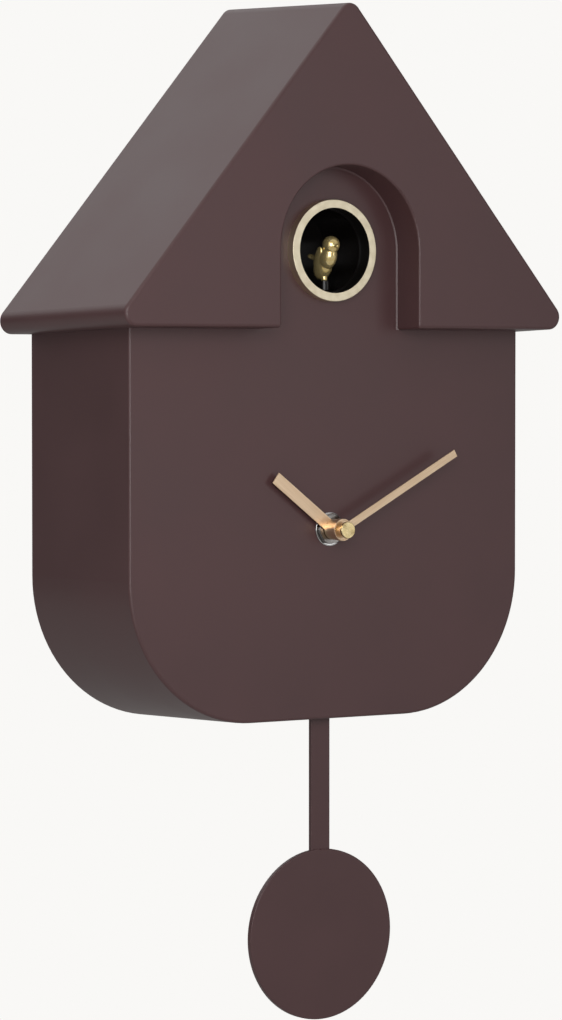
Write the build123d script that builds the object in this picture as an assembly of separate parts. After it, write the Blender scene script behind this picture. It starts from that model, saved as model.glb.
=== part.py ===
from build123d import *
import math
import os

# Wall-hung battery cuckoo clock: a house-shaped plastic case with a bird, two hands and a pendulum.
# Millimetres. X runs to the viewer's right, +Y into the wall, +Z up.
# The origin is the centre of the keyhole's entry hole, on the wall plane.

# Heights, all measured from the roof's bottom edge
EAVE_Z = -75.0
RIDGE_Z = EAVE_Z + 130.5
RING_Z = EAVE_Z + 30.8
DIAL_Z = EAVE_Z - 79.8
PIVOT_Z = EAVE_Z - 114.0
BODY_BOTTOM_Z = EAVE_Z - 155.4
BOB_Z = EAVE_Z - 242.4

# Case
WALL = 2.6
FIT_GAP = 0.25
ROOF_FRONT_Y = -85.0
ROOF_HALF = 111.1
ROOF_CORNER_R = 5.2
ROOF_DRAFT = 2.4
ROOF_EDGE_R = 1.3
ARCH_R = 33.3
ARCH_EDGE_R = 0.9
COVE_WIDTH = 0.6
COVE_DEPTH = 0.35
BODY_FRONT_Y = -70.0
BODY_HALF = 94.1
BODY_CORNER_R = 56.8
BODY_DRAFT = 1.6
BODY_EDGE_R = 1.1
BODY_TOP_Z = EAVE_Z + 0.2
DIAL_BACK_Y = BODY_FRONT_Y + WALL
ROOF_BACK_Y = ROOF_FRONT_Y + WALL
BACK_T = 2.5
BACK_INNER_Y = -BACK_T
SLOPE = math.atan2(RIDGE_Z - EAVE_Z, ROOF_HALF)

# Fasteners: pilot holes have the screw's core radius
SCREW_R = 1.1
HEAD_R = 2.5
HEAD_T = 1.5
POST_R = 3.8
CASE_SCREWS = [
    (-86, EAVE_Z - 30),
    (86, EAVE_Z - 30),
    (-30, EAVE_Z - 141),
    (30, EAVE_Z - 141),
    (-74, EAVE_Z + 15),
    (74, EAVE_Z + 15),
    (0, EAVE_Z + 104),
]
ROOF_SCREWS = [
    (-52, EAVE_Z + 12),
    (52, EAVE_Z + 12),
    (-27.8, RING_Z + 27.8),
    (27.8, RING_Z + 27.8),
]

# Bird, its tunnel and its drive
RING_OUTER_R = 20.2
RING_INNER_R = 16.9
RING_FACE_Y = -73.8
RING_SPIGOT_R = 18.2
TUNNEL_R = 16.4
TUNNEL_WALL = 1.6
TUNNEL_BACK_Y = -42.0
TUNNEL_FLANGE_R = 27.0
STAKE_R = 1.5
STAKE_CIRCLE_R = 23.5
ARM_HALF = 2.4
ARM_BOTTOM_Z = EAVE_Z + 15.3
ARM_TOP_Z = EAVE_Z + 17.9
PAD_T = 1.0
BIRD_Y = -66.3
RACK_BOTTOM_Z = EAVE_Z + 7.0
RACK_TOP_Z = EAVE_Z + 11.3
RACK_FACE_X = 6.0
RACK_FRONT_Y = -38.0
RACK_REAR_Y = -4.5
CARRIAGE_FRONT_Y = -19.0
BASE_TOP_Z = EAVE_Z + 6.3
BASE_T = 2.5
BASE_X = (-14.0, 28.0)
BASE_FRONT_Y = -62.0
BASE_FLANGE_T = 2.0
RAIL_FRONT_Y = -60.0
DRIVE_MODULE = 0.6
PINION_TEETH = 14
GEAR_TEETH = 36
MOTOR_TEETH = 12
PINION_X = RACK_FACE_X + DRIVE_MODULE * PINION_TEETH / 2
PINION_Y = -30.0
MOTOR_X = PINION_X + DRIVE_MODULE * (GEAR_TEETH + MOTOR_TEETH) / 2
MOTOR_R = 8.0
MOTOR_TOP_Z = EAVE_Z - 3.2
MOTOR_LENGTH = 24.0
MOTOR_FIT = 0.06
CUP_DEPTH = 9.0
CUP_WALL = 1.6
SHAFT_R = 1.0

# Clock movement, about the dial axis
MOVEMENT_HALF = 28.0
SEAL_T = 1.0
MOVEMENT_FRONT_Y = DIAL_BACK_Y + SEAL_T
MOVEMENT_WALL = 1.5
MOVEMENT_CORNER_R = 4.0
COVER_Y = -53.0
BUSH_R = 3.7
BUSH_BORE_R = 2.68
BUSH_FRONT_Y = -72.3
PIPE_R = 2.6
PIPE_FRONT_Y = -74.9
ARBOR_R = 1.2
RUNNING = 0.08
ARBOR_FRONT_Y = -81.4
CENTRE_DISTANCE = 8.4
MINUTE_MODULE = 0.35
HOUR_MODULE = 0.28
SMALL_TEETH = 12
MOTION_TEETH = 36
HOUR_TEETH = 48
HOUR_WHEEL_Y = -63.0
MOTION_WHEEL_Y = -60.3
WHEEL_T = 1.1
PINION_EXTRA = 0.2
PIVOT_POST_R = 0.8
HOUR_ANGLE = 143.1
HOUR_LENGTH = 34.8
HOUR_WIDTH = 5.0
HOUR_FACE_Y = -73.0
MINUTE_ANGLE = 28.0
MINUTE_LENGTH = 63.4
MINUTE_WIDTH = 3.0
MINUTE_FACE_Y = -79.2
HAND_T = 0.5
HOUR_HUB_R = 4.1
HOUR_HUB_Y = (-77.1, -72.45)
MINUTE_HUB_R = 4.4
MINUTE_HUB_Y = (-79.8, -77.4)
CAP_R = 3.3
CAP_FRONT_Y = -83.1
CAP_HEAD_T = 1.3
CAP_NECK_R = 1.9
KNOB_R = 7.0
KNOB_STEM_R = 1.5
KNOB_X = -2 * CENTRE_DISTANCE
KNOB_Y = (-8.0, -0.6)

# Pendulum
ROD_HALF = 4.45
ROD_FRONT_Y = -64.0
ROD_T = 2.0
ROD_TOP_Z = EAVE_Z - 129.0
PEG_Z = EAVE_Z - 136.0
BOB_R = 34.25
BOB_FRONT_Y = -64.6
BOB_T = 2.4
SLOT_HALF = 13.5
LEVER_FRONT_Y = -61.8
LEVER_T = 1.8
PIN_R = 1.0
UNIT_FRONT_Y = -57.5
UNIT_HALF = 18.0
UNIT_EAR_X = 25.0
UNIT_EAR_Z = PIVOT_Z - 6.0
UNIT_Z = (PIVOT_Z - 18.0, PIVOT_Z + 5.0)
UNIT_BACK_Y = -46.0
UNIT_WALL = 1.5
COIL_Z = PIVOT_Z - 12.0

# Electrics on the back plate
BOX_X = (-84.0, -36.0)
BOX_Z = (EAVE_Z - 122.0, EAVE_Z - 62.0)
BOX_FRONT_Y = -20.0
BOX_WALL = 1.4
CELL_R = 7.1
CELL_LENGTH = 49.0
CELL_PITCH = 15.0
CELL_Y = BOX_FRONT_Y + BOX_WALL + CELL_R + 0.3
CELL_BOTTOM_Z = BOX_Z[0] + BOX_WALL + 5.0
BOX_EAR_T = 1.6
DOOR_TRAVEL = 22.0
DOOR_T = 1.1
SPEAKER_X = 55.0
SPEAKER_Z = EAVE_Z - 110.0
SPEAKER_R = 25.0
SPEAKER_SCREW_R = 23.0
SPEAKER_RIM_T = 1.2
SPEAKER_DEPTH = 9.0
SPEAKER_MAGNET_T = 5.0
GRILLE_PITCH = 4.4
GRILLE_HOLE_R = 1.4
BOARD_X = (26.0, 78.0)
BOARD_Z = (EAVE_Z - 74.0, EAVE_Z - 26.0)
BOARD_Y = -12.4
BOARD_T = 1.6
CONTROL_Z = EAVE_Z - 36.0
VOLUME_X = 40.5
SWITCH_X = 55.0
BUTTON_X = 69.0
SENSOR_X = 30.0
SENSOR_Y = -40.0

# Keyhole hanger
ENTRY_R = 4.5
NECK_R = 2.2
NECK_RISE = 8.0
HANGER_T = 1.2
HANGER_Z = 4.0
HANGER_SCREW_X = 13.0


def slab(sketch, front, back):
    """A sketch drawn in X and Z, made solid from the plane Y=front to the plane Y=back."""
    return extrude(Plane.XZ.offset(-back) * sketch, amount=back - front)


def layer(sketch, bottom, top):
    """A sketch drawn in X and Y, made solid from the height bottom to the height top."""
    return extrude(Plane.XY.offset(bottom) * sketch, amount=top - bottom)


def rod_y(radius, x, z, front, back):
    """A round bar along Y."""
    return slab(Pos(x, z) * Circle(radius), front, back)


def block(xs, ys, zs):
    """A box from its limits on each axis."""
    size = (xs[1] - xs[0], ys[1] - ys[0], zs[1] - zs[0])
    centre = (sum(xs) / 2, sum(ys) / 2, sum(zs) / 2)
    return Pos(*centre) * Box(*size)


def panel(xs, zs, corner):
    """A rounded rectangle in X and Z from its limits."""
    return Pos(sum(xs) / 2, sum(zs) / 2) * RectangleRounded(xs[1] - xs[0], zs[1] - zs[0], corner)


def save(shape, node):
    """Write one node's file."""
    export_step(shape, f"parts/{node}.step")


def save_group(shapes, node):
    """Write one node that holds several separate solids."""
    solids = [solid for shape in shapes for solid in shape.solids()]
    save(Compound(children=solids), node)


# Outlines of the case

def roof_draft(y):
    return ROOF_DRAFT * (y - ROOF_FRONT_Y) / -ROOF_FRONT_Y


def body_draft(y):
    return BODY_DRAFT * (y - BODY_FRONT_Y) / -BODY_FRONT_Y


def roof_outline(y, inset):
    """The gable triangle at a depth, with each side moved inward by inset."""
    grow = roof_draft(y) - inset
    apex = RIDGE_Z + grow / math.cos(SLOPE)
    half = ROOF_HALF + grow * (1 + math.cos(SLOPE)) / math.sin(SLOPE)
    base = EAVE_Z - grow
    triangle = Polygon((-half, base), (half, base), (0, apex), align=None)
    return fillet(triangle.vertices(), ROOF_CORNER_R - inset)


def body_outline(y, inset, top):
    """The box below the roof at a depth, with two wide round corners, its sides moved inward by inset."""
    grow = body_draft(y) - inset
    half = BODY_HALF + grow
    bottom = BODY_BOTTOM_Z - grow
    sheet = Polygon((-half, bottom), (half, bottom), (half, top), (-half, top), align=None)
    lower = sheet.vertices().sort_by(Axis.Y)[:2]
    return fillet(lower, BODY_CORNER_R + grow)


def roof_prism(inset, front, back=0.0):
    sections = [Plane.XZ.offset(-y) * roof_outline(y, inset) for y in (front, back)]
    return loft(sections, ruled=True)


def body_prism(inset, front, top, back=0.0):
    sections = [Plane.XZ.offset(-y) * body_outline(y, inset, top) for y in (front, back)]
    return loft(sections, ruled=True)


def arch(radius):
    """A doorway outline about the ring's centre, open past the roof's bottom edge."""
    foot = EAVE_Z - 2 * WALL
    return Pos(0, RING_Z) * Circle(radius) + panel_flat((-radius, radius), (foot, RING_Z))


def panel_flat(xs, zs):
    return Pos(sum(xs) / 2, sum(zs) / 2) * Rectangle(xs[1] - xs[0], zs[1] - zs[0])


# Case pieces

def arch_cove():
    """The mouth's last fraction, which narrows onto the dial plate in a small bevel."""
    wide = Plane.XZ.offset(COVE_DEPTH - BODY_FRONT_Y) * arch(ARCH_R)
    narrow = Plane.XZ.offset(-BODY_FRONT_Y) * arch(ARCH_R - COVE_WIDTH)
    return loft([wide, narrow], ruled=True)


def roof_shell():
    """The hollow gable with its arched mouth, an open back and bottom, and screw posts inside."""
    outer = roof_prism(0, ROOF_FRONT_Y)
    front = outer.faces().sort_by(Axis.Y)[0]
    outer = fillet(front.edges(), ROOF_EDGE_R)
    shell = outer - roof_prism(WALL, ROOF_BACK_Y, 1.0)
    reveal = slab(arch(ARCH_R + WALL), ROOF_FRONT_Y + ROOF_EDGE_R, BODY_FRONT_Y)
    shell += reveal & roof_prism(0, ROOF_FRONT_Y)
    shell -= slab(arch(ARCH_R), ROOF_FRONT_Y - 1, BODY_FRONT_Y - COVE_DEPTH) + arch_cove()
    mouth = [
        edge
        for edge in shell.edges().filter_by_position(Axis.Y, ROOF_FRONT_Y - 0.1, ROOF_FRONT_Y + 0.1)
        if abs(edge.center().X) < ARCH_R + 1 and edge.center().Z > EAVE_Z + ROOF_EDGE_R
    ]
    mouth = [edge for edge in mouth if edge.bounding_box().max.Z < RING_Z + ARCH_R + 1]
    shell = fillet(mouth, ARCH_EDGE_R)
    shell -= body_prism(0, BODY_FRONT_Y, EAVE_Z + 2 * WALL)
    for x, z in ROOF_SCREWS:
        shell += rod_y(POST_R - 0.6, x, z, ROOF_BACK_Y - 0.5, BODY_FRONT_Y)
        shell -= rod_y(SCREW_R, x, z, BODY_FRONT_Y - 9, BODY_FRONT_Y)
    for x, z in CASE_SCREWS:
        if z > EAVE_Z:
            shell += rod_y(POST_R, x, z, ROOF_BACK_Y - 0.5, BACK_INNER_Y)
            shell -= rod_y(SCREW_R, x, z, BACK_INNER_Y - 12, BACK_INNER_Y)
    return shell


def tongue():
    """The dial plate's rise behind the roof's arch, with shoulders for two of the roof screws."""
    shoulder = panel_flat((-62, 62), (BODY_TOP_Z - 2, EAVE_Z + 22))
    door = Pos(0, RING_Z) * Circle(43) + panel_flat((-43, 43), (BODY_TOP_Z - 2, RING_Z))
    return slab(shoulder + door, BODY_FRONT_Y, DIAL_BACK_Y)


def stakes():
    """Three pins that hold the tunnel's flange to the dial plate."""
    points = [Pos(0, RING_Z) * loc for loc in PolarLocations(STAKE_CIRCLE_R, 3, start_angle=90)]
    return [(loc.position.X, loc.position.Y) for loc in points]


def body_shell():
    """The box under the roof: dial plate, sides, round lower corners and everything moulded inside."""
    outer = body_prism(0, BODY_FRONT_Y, BODY_TOP_Z)
    rim = [
        edge
        for edge in outer.faces().sort_by(Axis.Y)[0].edges()
        if edge.center().Z < BODY_TOP_Z - 1
    ]
    outer = fillet(rim, BODY_EDGE_R)
    shell = outer - body_prism(WALL, DIAL_BACK_Y, BODY_TOP_Z + 5, 1.0)
    shell += tongue()
    shell -= rod_y(RING_SPIGOT_R, 0, RING_Z, BODY_FRONT_Y, DIAL_BACK_Y)
    for x, z in stakes():
        shell += rod_y(STAKE_R, x, z, DIAL_BACK_Y, DIAL_BACK_Y + 3)
    for x, z in ROOF_SCREWS:
        shell -= rod_y(SCREW_R, x, z, BODY_FRONT_Y, DIAL_BACK_Y)
    shell -= rod_y(BUSH_R + 0.1, 0, DIAL_Z, BODY_FRONT_Y, DIAL_BACK_Y)
    for x, z in CASE_SCREWS:
        if z < EAVE_Z:
            shell += rod_y(POST_R, x, z, DIAL_BACK_Y - 0.5, BACK_INNER_Y)
            shell -= rod_y(SCREW_R, x, z, BACK_INNER_Y - 12, BACK_INNER_Y)
    for side in (-1, 1):
        shell += rod_y(POST_R, side * UNIT_EAR_X, UNIT_EAR_Z, DIAL_BACK_Y - 0.5, UNIT_FRONT_Y)
        shell -= rod_y(SCREW_R, side * UNIT_EAR_X, UNIT_EAR_Z, UNIT_FRONT_Y - 7, UNIT_FRONT_Y)
    shell += rod_y(3.2, 0, PIVOT_Z, DIAL_BACK_Y - 0.5, DIAL_BACK_Y + 2)
    shell -= rod_y(PIN_R, 0, PIVOT_Z, DIAL_BACK_Y + 0.8, DIAL_BACK_Y + 2)
    slot_y = (DIAL_BACK_Y + 0.4, DIAL_BACK_Y + 8.4)
    shell -= block((-SLOT_HALF, SLOT_HALF), slot_y, (BODY_BOTTOM_Z - 3, BODY_BOTTOM_Z + 4))
    sensor_hole = Pos(SENSOR_X, SENSOR_Y) * Circle(2.6)
    shell -= layer(sensor_hole, BODY_BOTTOM_Z - 3, BODY_BOTTOM_Z + 4)
    return shell


def plate_outline():
    top = roof_outline(BACK_INNER_Y, WALL + FIT_GAP)
    lower = body_outline(BACK_INNER_Y, WALL + FIT_GAP, BODY_TOP_Z + 5)
    return top + lower


def door_outline():
    return panel((BOX_X[0] + 0.6, BOX_X[1] - 0.6), (BOX_Z[0] + 0.6, BOX_Z[1] - 0.6), 2.0)


def grille():
    """Rings of small round holes over the loudspeaker."""
    holes = [Pos(SPEAKER_X, SPEAKER_Z) * Circle(GRILLE_HOLE_R)]
    for ring in range(1, 5):
        for spot in PolarLocations(GRILLE_PITCH * ring, 6 * ring):
            holes.append(Pos(SPEAKER_X, SPEAKER_Z) * spot * Circle(GRILLE_HOLE_R))
    return holes


def board_posts():
    return [(x, z) for x in (BOARD_X[0] + 4, BOARD_X[1] - 4) for z in (BOARD_Z[0] + 4, BOARD_Z[1] - 4)]


def speaker_screws():
    spots = PolarLocations(SPEAKER_SCREW_R, 4, start_angle=45)
    return [(SPEAKER_X + spot.position.X, SPEAKER_Z + spot.position.Y) for spot in spots]


def box_screws():
    return [(sum(BOX_X) / 2, BOX_Z[0] - 4.5), (sum(BOX_X) / 2, BOX_Z[1] + 4.5)]


def slide_screws():
    return [(x, BASE_TOP_Z + 3.7) for x in (-11.2, 23.5)]


def back_plate():
    """The flat back, with seats and holes for all that is reached from behind."""
    plate = slab(plate_outline(), BACK_INNER_Y, 0)
    for x, z in CASE_SCREWS:
        plate -= rod_y(SCREW_R + 0.3, x, z, BACK_INNER_Y, 0)
        plate -= rod_y(HEAD_R + 0.3, x, z, -HEAD_T - 0.1, 0)
    # Hanger: a seat for the steel plate and a deeper pocket for the wall screw's head
    plate -= slab(Pos(0, HANGER_Z) * RectangleRounded(34, 30, 2), -HANGER_T, 0)
    plate -= slab(Pos(0, 3) * RectangleRounded(16, 22, 4), BACK_INNER_Y, 0)
    for side in (-1, 1):
        plate -= rod_y(SCREW_R, side * HANGER_SCREW_X, HANGER_Z, BACK_INNER_Y, 0)
    # Battery door: its track, and the opening under it
    track_z = (BOX_Z[0] + 0.4, BOX_Z[1] + DOOR_TRAVEL)
    plate -= slab(panel((BOX_X[0] + 0.4, BOX_X[1] - 0.4), track_z, 2.0), -DOOR_T - 0.2, 0)
    inside = (BOX_X[0] + BOX_WALL + 1, BOX_X[1] - BOX_WALL - 1)
    plate -= slab(panel(inside, (BOX_Z[0] + 2.4, BOX_Z[1] - 2.4), 1.5), BACK_INNER_Y, 0)
    # Controls and loudspeaker
    plate -= rod_y(KNOB_R + 1.5, KNOB_X, DIAL_Z, BACK_INNER_Y, 0)
    plate -= rod_y(6.9, VOLUME_X, CONTROL_Z, BACK_INNER_Y, 0)
    plate -= slab(Pos(SWITCH_X, CONTROL_Z) * SlotOverall(10, 4), BACK_INNER_Y, 0)
    plate -= rod_y(3.6, BUTTON_X, CONTROL_Z, BACK_INNER_Y, 0)
    plate -= slab(Sketch() + grille(), BACK_INNER_Y, 0)
    for x, z in board_posts():
        plate += rod_y(3.0, x, z, BOARD_Y, BACK_INNER_Y)
        plate -= rod_y(SCREW_R, x, z, BOARD_Y, BACK_INNER_Y - 1)
    for x, z in speaker_screws():
        plate -= rod_y(SCREW_R, x, z, BACK_INNER_Y, -0.8)
    for x, z in box_screws():
        plate -= rod_y(SCREW_R, x, z, BACK_INNER_Y, -DOOR_T - 0.3)
    for x, z in slide_screws():
        plate -= rod_y(SCREW_R, x, z, BACK_INNER_Y, -0.8)
    return plate


def hanger_plate():
    """The steel plate with the keyhole that hangs on the wall screw."""
    sheet = Pos(0, HANGER_Z) * RectangleRounded(33.6, 29.6, 1.8)
    keyhole = Circle(ENTRY_R) + panel_flat((-NECK_R, NECK_R), (0, NECK_RISE))
    keyhole += Pos(0, NECK_RISE) * Circle(NECK_R)
    plate = slab(sheet - keyhole, -HANGER_T, 0)
    for screw in hanger_screws():
        plate -= screw
    return plate


def hanger_screws():
    """Two countersunk screws, flush with the wall plane."""
    outline = ((0, 0), (2.2, 0), (SCREW_R, -1.1), (SCREW_R, -BACK_T), (0, -BACK_T))
    screw = revolve(Plane.XY * Polygon(*outline, align=None), Axis.Y)
    return [Pos(side * HANGER_SCREW_X, 0, HANGER_Z) * screw for side in (-1, 1)]


def screw_y(x, z, seat, length):
    """A pan-head tapping screw driven towards the front, its head behind the plane Y=seat."""
    head = rod_y(HEAD_R, x, z, seat, seat + HEAD_T)
    head = fillet(head.edges().group_by(Axis.Y)[-1], 0.7)
    for turn in (0, 90):
        cross = Pos(x, z) * Rot(0, 0, turn) * Rectangle(2.8, 0.6)
        head -= slab(cross, seat + HEAD_T - 0.9, seat + HEAD_T)
    return head + rod_y(SCREW_R, x, z, seat - length, seat)


# Ring, tunnel and bird

def ring_bezel():
    face = rod_y(RING_OUTER_R, 0, RING_Z, RING_FACE_Y, BODY_FRONT_Y)
    face = fillet(face.edges().group_by(Axis.Y)[0], 0.25)
    ring = face + rod_y(RING_SPIGOT_R, 0, RING_Z, BODY_FRONT_Y, DIAL_BACK_Y)
    ring -= rod_y(RING_INNER_R, 0, RING_Z, RING_FACE_Y, DIAL_BACK_Y)
    return ring


def bird_tunnel():
    tube = rod_y(TUNNEL_R + TUNNEL_WALL, 0, RING_Z, DIAL_BACK_Y, TUNNEL_BACK_Y)
    tube += rod_y(TUNNEL_FLANGE_R, 0, RING_Z, DIAL_BACK_Y, DIAL_BACK_Y + 1.8)
    tube -= rod_y(TUNNEL_R, 0, RING_Z, DIAL_BACK_Y, TUNNEL_BACK_Y - 1.8)
    gate = ((-ARM_HALF - 0.5, ARM_HALF + 0.5), (TUNNEL_BACK_Y - 2, TUNNEL_BACK_Y))
    tube -= block(*gate, (ARM_BOTTOM_Z - 0.4, ARM_TOP_Z + 0.5))
    for x, z in stakes():
        tube -= rod_y(STAKE_R, x, z, DIAL_BACK_Y, DIAL_BACK_Y + 1.8)
    return tube


def bird():
    """A small upright bird: a leaning body on a short leg, a round head, a beak and a raised tail."""
    leg = layer(Pos(0, BIRD_Y) * Circle(1.2), ARM_TOP_Z + PAD_T, ARM_TOP_Z + 4.0)
    body = Pos(0, BIRD_Y - 2.6, ARM_TOP_Z + 8.2) * Rot(22, 0, 0) * scale(Sphere(1), by=(3.6, 3.5, 7.2))
    head = Pos(0, BIRD_Y - 6.6, RING_Z + 3.1) * Sphere(3.15)
    beak = Pos(0, BIRD_Y - 10.4, RING_Z + 2.5) * Rot(90, 0, 0) * Cone(1.1, 0.25, 3.4)
    tail = Pos(0, BIRD_Y + 4.4, RING_Z - 3.4) * Rot(-62, 0, 0) * scale(Sphere(1), by=(1.5, 1.0, 7.0))
    return leg + body + head + beak + tail


def bird_arm():
    """The bar that carries the bird, with a round front end and a pad under the bird's leg."""
    bar = block((-ARM_HALF, ARM_HALF), (BIRD_Y, RACK_REAR_Y - 2), (ARM_BOTTOM_Z, ARM_TOP_Z))
    end = layer(Pos(0, BIRD_Y) * Circle(ARM_HALF), ARM_BOTTOM_Z, ARM_TOP_Z)
    pad = layer(Pos(0, BIRD_Y) * Circle(2.2), ARM_TOP_Z, ARM_TOP_Z + PAD_T)
    return bar + end + pad


def rack_teeth():
    """Straight-sided teeth on the carriage's right flank, one of them centred on the pinion."""
    pitch = math.pi * DRIVE_MODULE
    root = RACK_FACE_X - 1.25 * DRIVE_MODULE
    tip = RACK_FACE_X + 0.85 * DRIVE_MODULE
    slope = math.tan(math.radians(20))
    root_half = pitch / 4 - 0.07 + (RACK_FACE_X - root) * slope
    tip_half = pitch / 4 - 0.07 - (tip - RACK_FACE_X) * slope
    first = math.ceil((RACK_FRONT_Y + root_half - PINION_Y) / pitch)
    last = math.floor((RACK_REAR_Y - root_half - PINION_Y) / pitch)
    teeth = []
    for index in range(first, last + 1):
        y = PINION_Y + index * pitch
        rising = [(root - 0.1, y - root_half), (tip, y - tip_half)]
        falling = [(tip, y + tip_half), (root - 0.1, y + root_half)]
        teeth.append(Polygon(*rising, *falling, align=None))
    return teeth


def bird_carriage():
    """The rack that carries the arm, with a slotted tower at its back."""
    left = -RACK_FACE_X
    root = RACK_FACE_X - 1.25 * DRIVE_MODULE
    middle = Pos((root + left) / 2, (RACK_FRONT_Y + RACK_REAR_Y) / 2)
    bar = middle * Rectangle(root - left, RACK_REAR_Y - RACK_FRONT_Y)
    rack = layer(bar + rack_teeth(), RACK_BOTTOM_Z, RACK_TOP_Z)
    tower = block((left, root), (CARRIAGE_FRONT_Y, RACK_REAR_Y), (RACK_TOP_Z, ARM_TOP_Z + 3))
    groove = block((-ARM_HALF, ARM_HALF), (CARRIAGE_FRONT_Y, RACK_REAR_Y - 2), (ARM_BOTTOM_Z, ARM_TOP_Z))
    return rack + tower - groove


def slide_base():
    """The tray the carriage slides on, with two rails, a back flange and a cup for the motor."""
    floor = block(BASE_X, (BASE_FRONT_Y, BACK_INNER_Y), (BASE_TOP_Z - BASE_T, BASE_TOP_Z))
    flange_y = (BACK_INNER_Y - BASE_FLANGE_T, BACK_INNER_Y)
    flange = block(BASE_X, flange_y, (BASE_TOP_Z, BASE_TOP_Z + 8))
    flange -= block((-7, 8), flange_y, (BASE_TOP_Z, BASE_TOP_Z + 8))
    rail_z = (BASE_TOP_Z, BASE_TOP_Z + 4)
    left_rail = block((-8.2, -6.4), (RAIL_FRONT_Y, BACK_INNER_Y - BASE_FLANGE_T), rail_z)
    right_rail = block((6.9, 8.7), (RAIL_FRONT_Y, PINION_Y - 8), rail_z)
    base = floor + flange + left_rail + right_rail
    base -= layer(Pos(PINION_X, PINION_Y) * Circle(SHAFT_R + RUNNING), BASE_TOP_Z - BASE_T, BASE_TOP_Z)
    return base + motor_cup() - motor_bore() - slide_screw_holes()


def motor_bore():
    return layer(Pos(MOTOR_X, PINION_Y) * Circle(MOTOR_R + MOTOR_FIT), MOTOR_TOP_Z - CUP_DEPTH, MOTOR_TOP_Z)


def motor_cup():
    """The cup below the tray, on two webs that leave the gears free."""
    bottom = MOTOR_TOP_Z - CUP_DEPTH
    web_x = (MOTOR_X - 2, BASE_X[1])
    cup = layer(Pos(MOTOR_X, PINION_Y) * Circle(MOTOR_R + CUP_WALL), bottom, MOTOR_TOP_Z)
    for side in (-1, 1):
        y = PINION_Y + side * (MOTOR_R + 3.6)
        inner_y = PINION_Y + side * (MOTOR_R + 0.8)
        cup += block(web_x, (y - 1.3, y + 1.3), (bottom, BASE_TOP_Z - BASE_T))
        cup += block(web_x, sorted((y, inner_y)), (bottom, MOTOR_TOP_Z))
    return cup


def slide_screw_holes():
    seat = BACK_INNER_Y - BASE_FLANGE_T
    holes = [rod_y(SCREW_R + 0.2, x, z, seat, BACK_INNER_Y) for x, z in slide_screws()]
    return holes[0] + holes[1]


def gear_sketch(module, teeth, tooth_at, backlash):
    """An involute spur gear outline with one tooth centred on the angle tooth_at, in degrees."""
    pitch_r = module * teeth / 2
    base_r = pitch_r * math.cos(math.radians(20))
    tip_r = pitch_r + 0.85 * module
    root_r = pitch_r - 1.2 * module

    def involute(radius):
        pressure = math.acos(min(1.0, base_r / radius))
        return math.tan(pressure) - pressure

    half = math.pi / 2 / teeth - backlash / 2 / pitch_r + involute(pitch_r)
    start_r = max(base_r, root_r)
    radii = [start_r + (tip_r - start_r) * step / 3 for step in range(4)]
    points = []
    for tooth in range(teeth):
        middle = math.radians(tooth_at + 360 * tooth / teeth)
        flank = [(root_r, half)] + [(radius, half - involute(radius)) for radius in radii]
        rising = [(radius, middle - turn) for radius, turn in flank]
        falling = [(radius, middle + turn) for radius, turn in reversed(flank)]
        outline = rising + falling
        points += [(radius * math.cos(angle), radius * math.sin(angle)) for radius, angle in outline]
    return Polygon(*points, align=None)


def bird_pinion():
    sketch = gear_sketch(DRIVE_MODULE, PINION_TEETH, 180 + 180 / PINION_TEETH, 0.14) - Circle(SHAFT_R)
    return layer(Pos(PINION_X, PINION_Y) * sketch, BASE_TOP_Z + 0.4, RACK_TOP_Z)


def reduction_gear():
    sketch = gear_sketch(DRIVE_MODULE, GEAR_TEETH, 0, 0.14) - Circle(SHAFT_R)
    for spot in PolarLocations(6.6, 5):
        sketch -= spot * Circle(2.0)
    wheel = layer(Pos(PINION_X, PINION_Y) * sketch, EAVE_Z - 0.6, EAVE_Z + 2.2)
    hub = Pos(PINION_X, PINION_Y) * (Circle(2.8) - Circle(SHAFT_R))
    return wheel + layer(hub, EAVE_Z - 1.6, EAVE_Z + 3.2)


def drive_shaft():
    return layer(Pos(PINION_X, PINION_Y) * Circle(SHAFT_R), EAVE_Z - 2.6, RACK_TOP_Z + 1.2)


def motor():
    can = layer(Pos(MOTOR_X, PINION_Y) * Circle(MOTOR_R), MOTOR_TOP_Z - MOTOR_LENGTH, MOTOR_TOP_Z)
    can = fillet(can.edges().group_by(Axis.Z)[-1], 1.2)
    can -= layer(Pos(MOTOR_X, PINION_Y) * Circle(SHAFT_R + 0.1), MOTOR_TOP_Z - 16, MOTOR_TOP_Z)
    for side in (-1, 1):
        tab = ((MOTOR_X + side * 4.5 - 1.2, MOTOR_X + side * 4.5 + 1.2), (PINION_Y - 0.3, PINION_Y + 0.3))
        can += block(*tab, (MOTOR_TOP_Z - MOTOR_LENGTH - 4, MOTOR_TOP_Z - MOTOR_LENGTH + 0.5))
    return can


def motor_pinion():
    sketch = gear_sketch(DRIVE_MODULE, MOTOR_TEETH, 180 + 180 / MOTOR_TEETH, 0.14)
    wheel = layer(Pos(MOTOR_X, PINION_Y) * sketch, EAVE_Z - 1.0, EAVE_Z + 2.4)
    return wheel + layer(Pos(MOTOR_X, PINION_Y) * Circle(SHAFT_R), MOTOR_TOP_Z - 15, EAVE_Z + 2.4)


# Clock movement

def movement_square(inset):
    """The movement's outline with its sides and corners moved inward by inset."""
    side = 2 * (MOVEMENT_HALF - inset)
    return Pos(0, DIAL_Z) * RectangleRounded(side, side, MOVEMENT_CORNER_R - inset)


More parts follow.
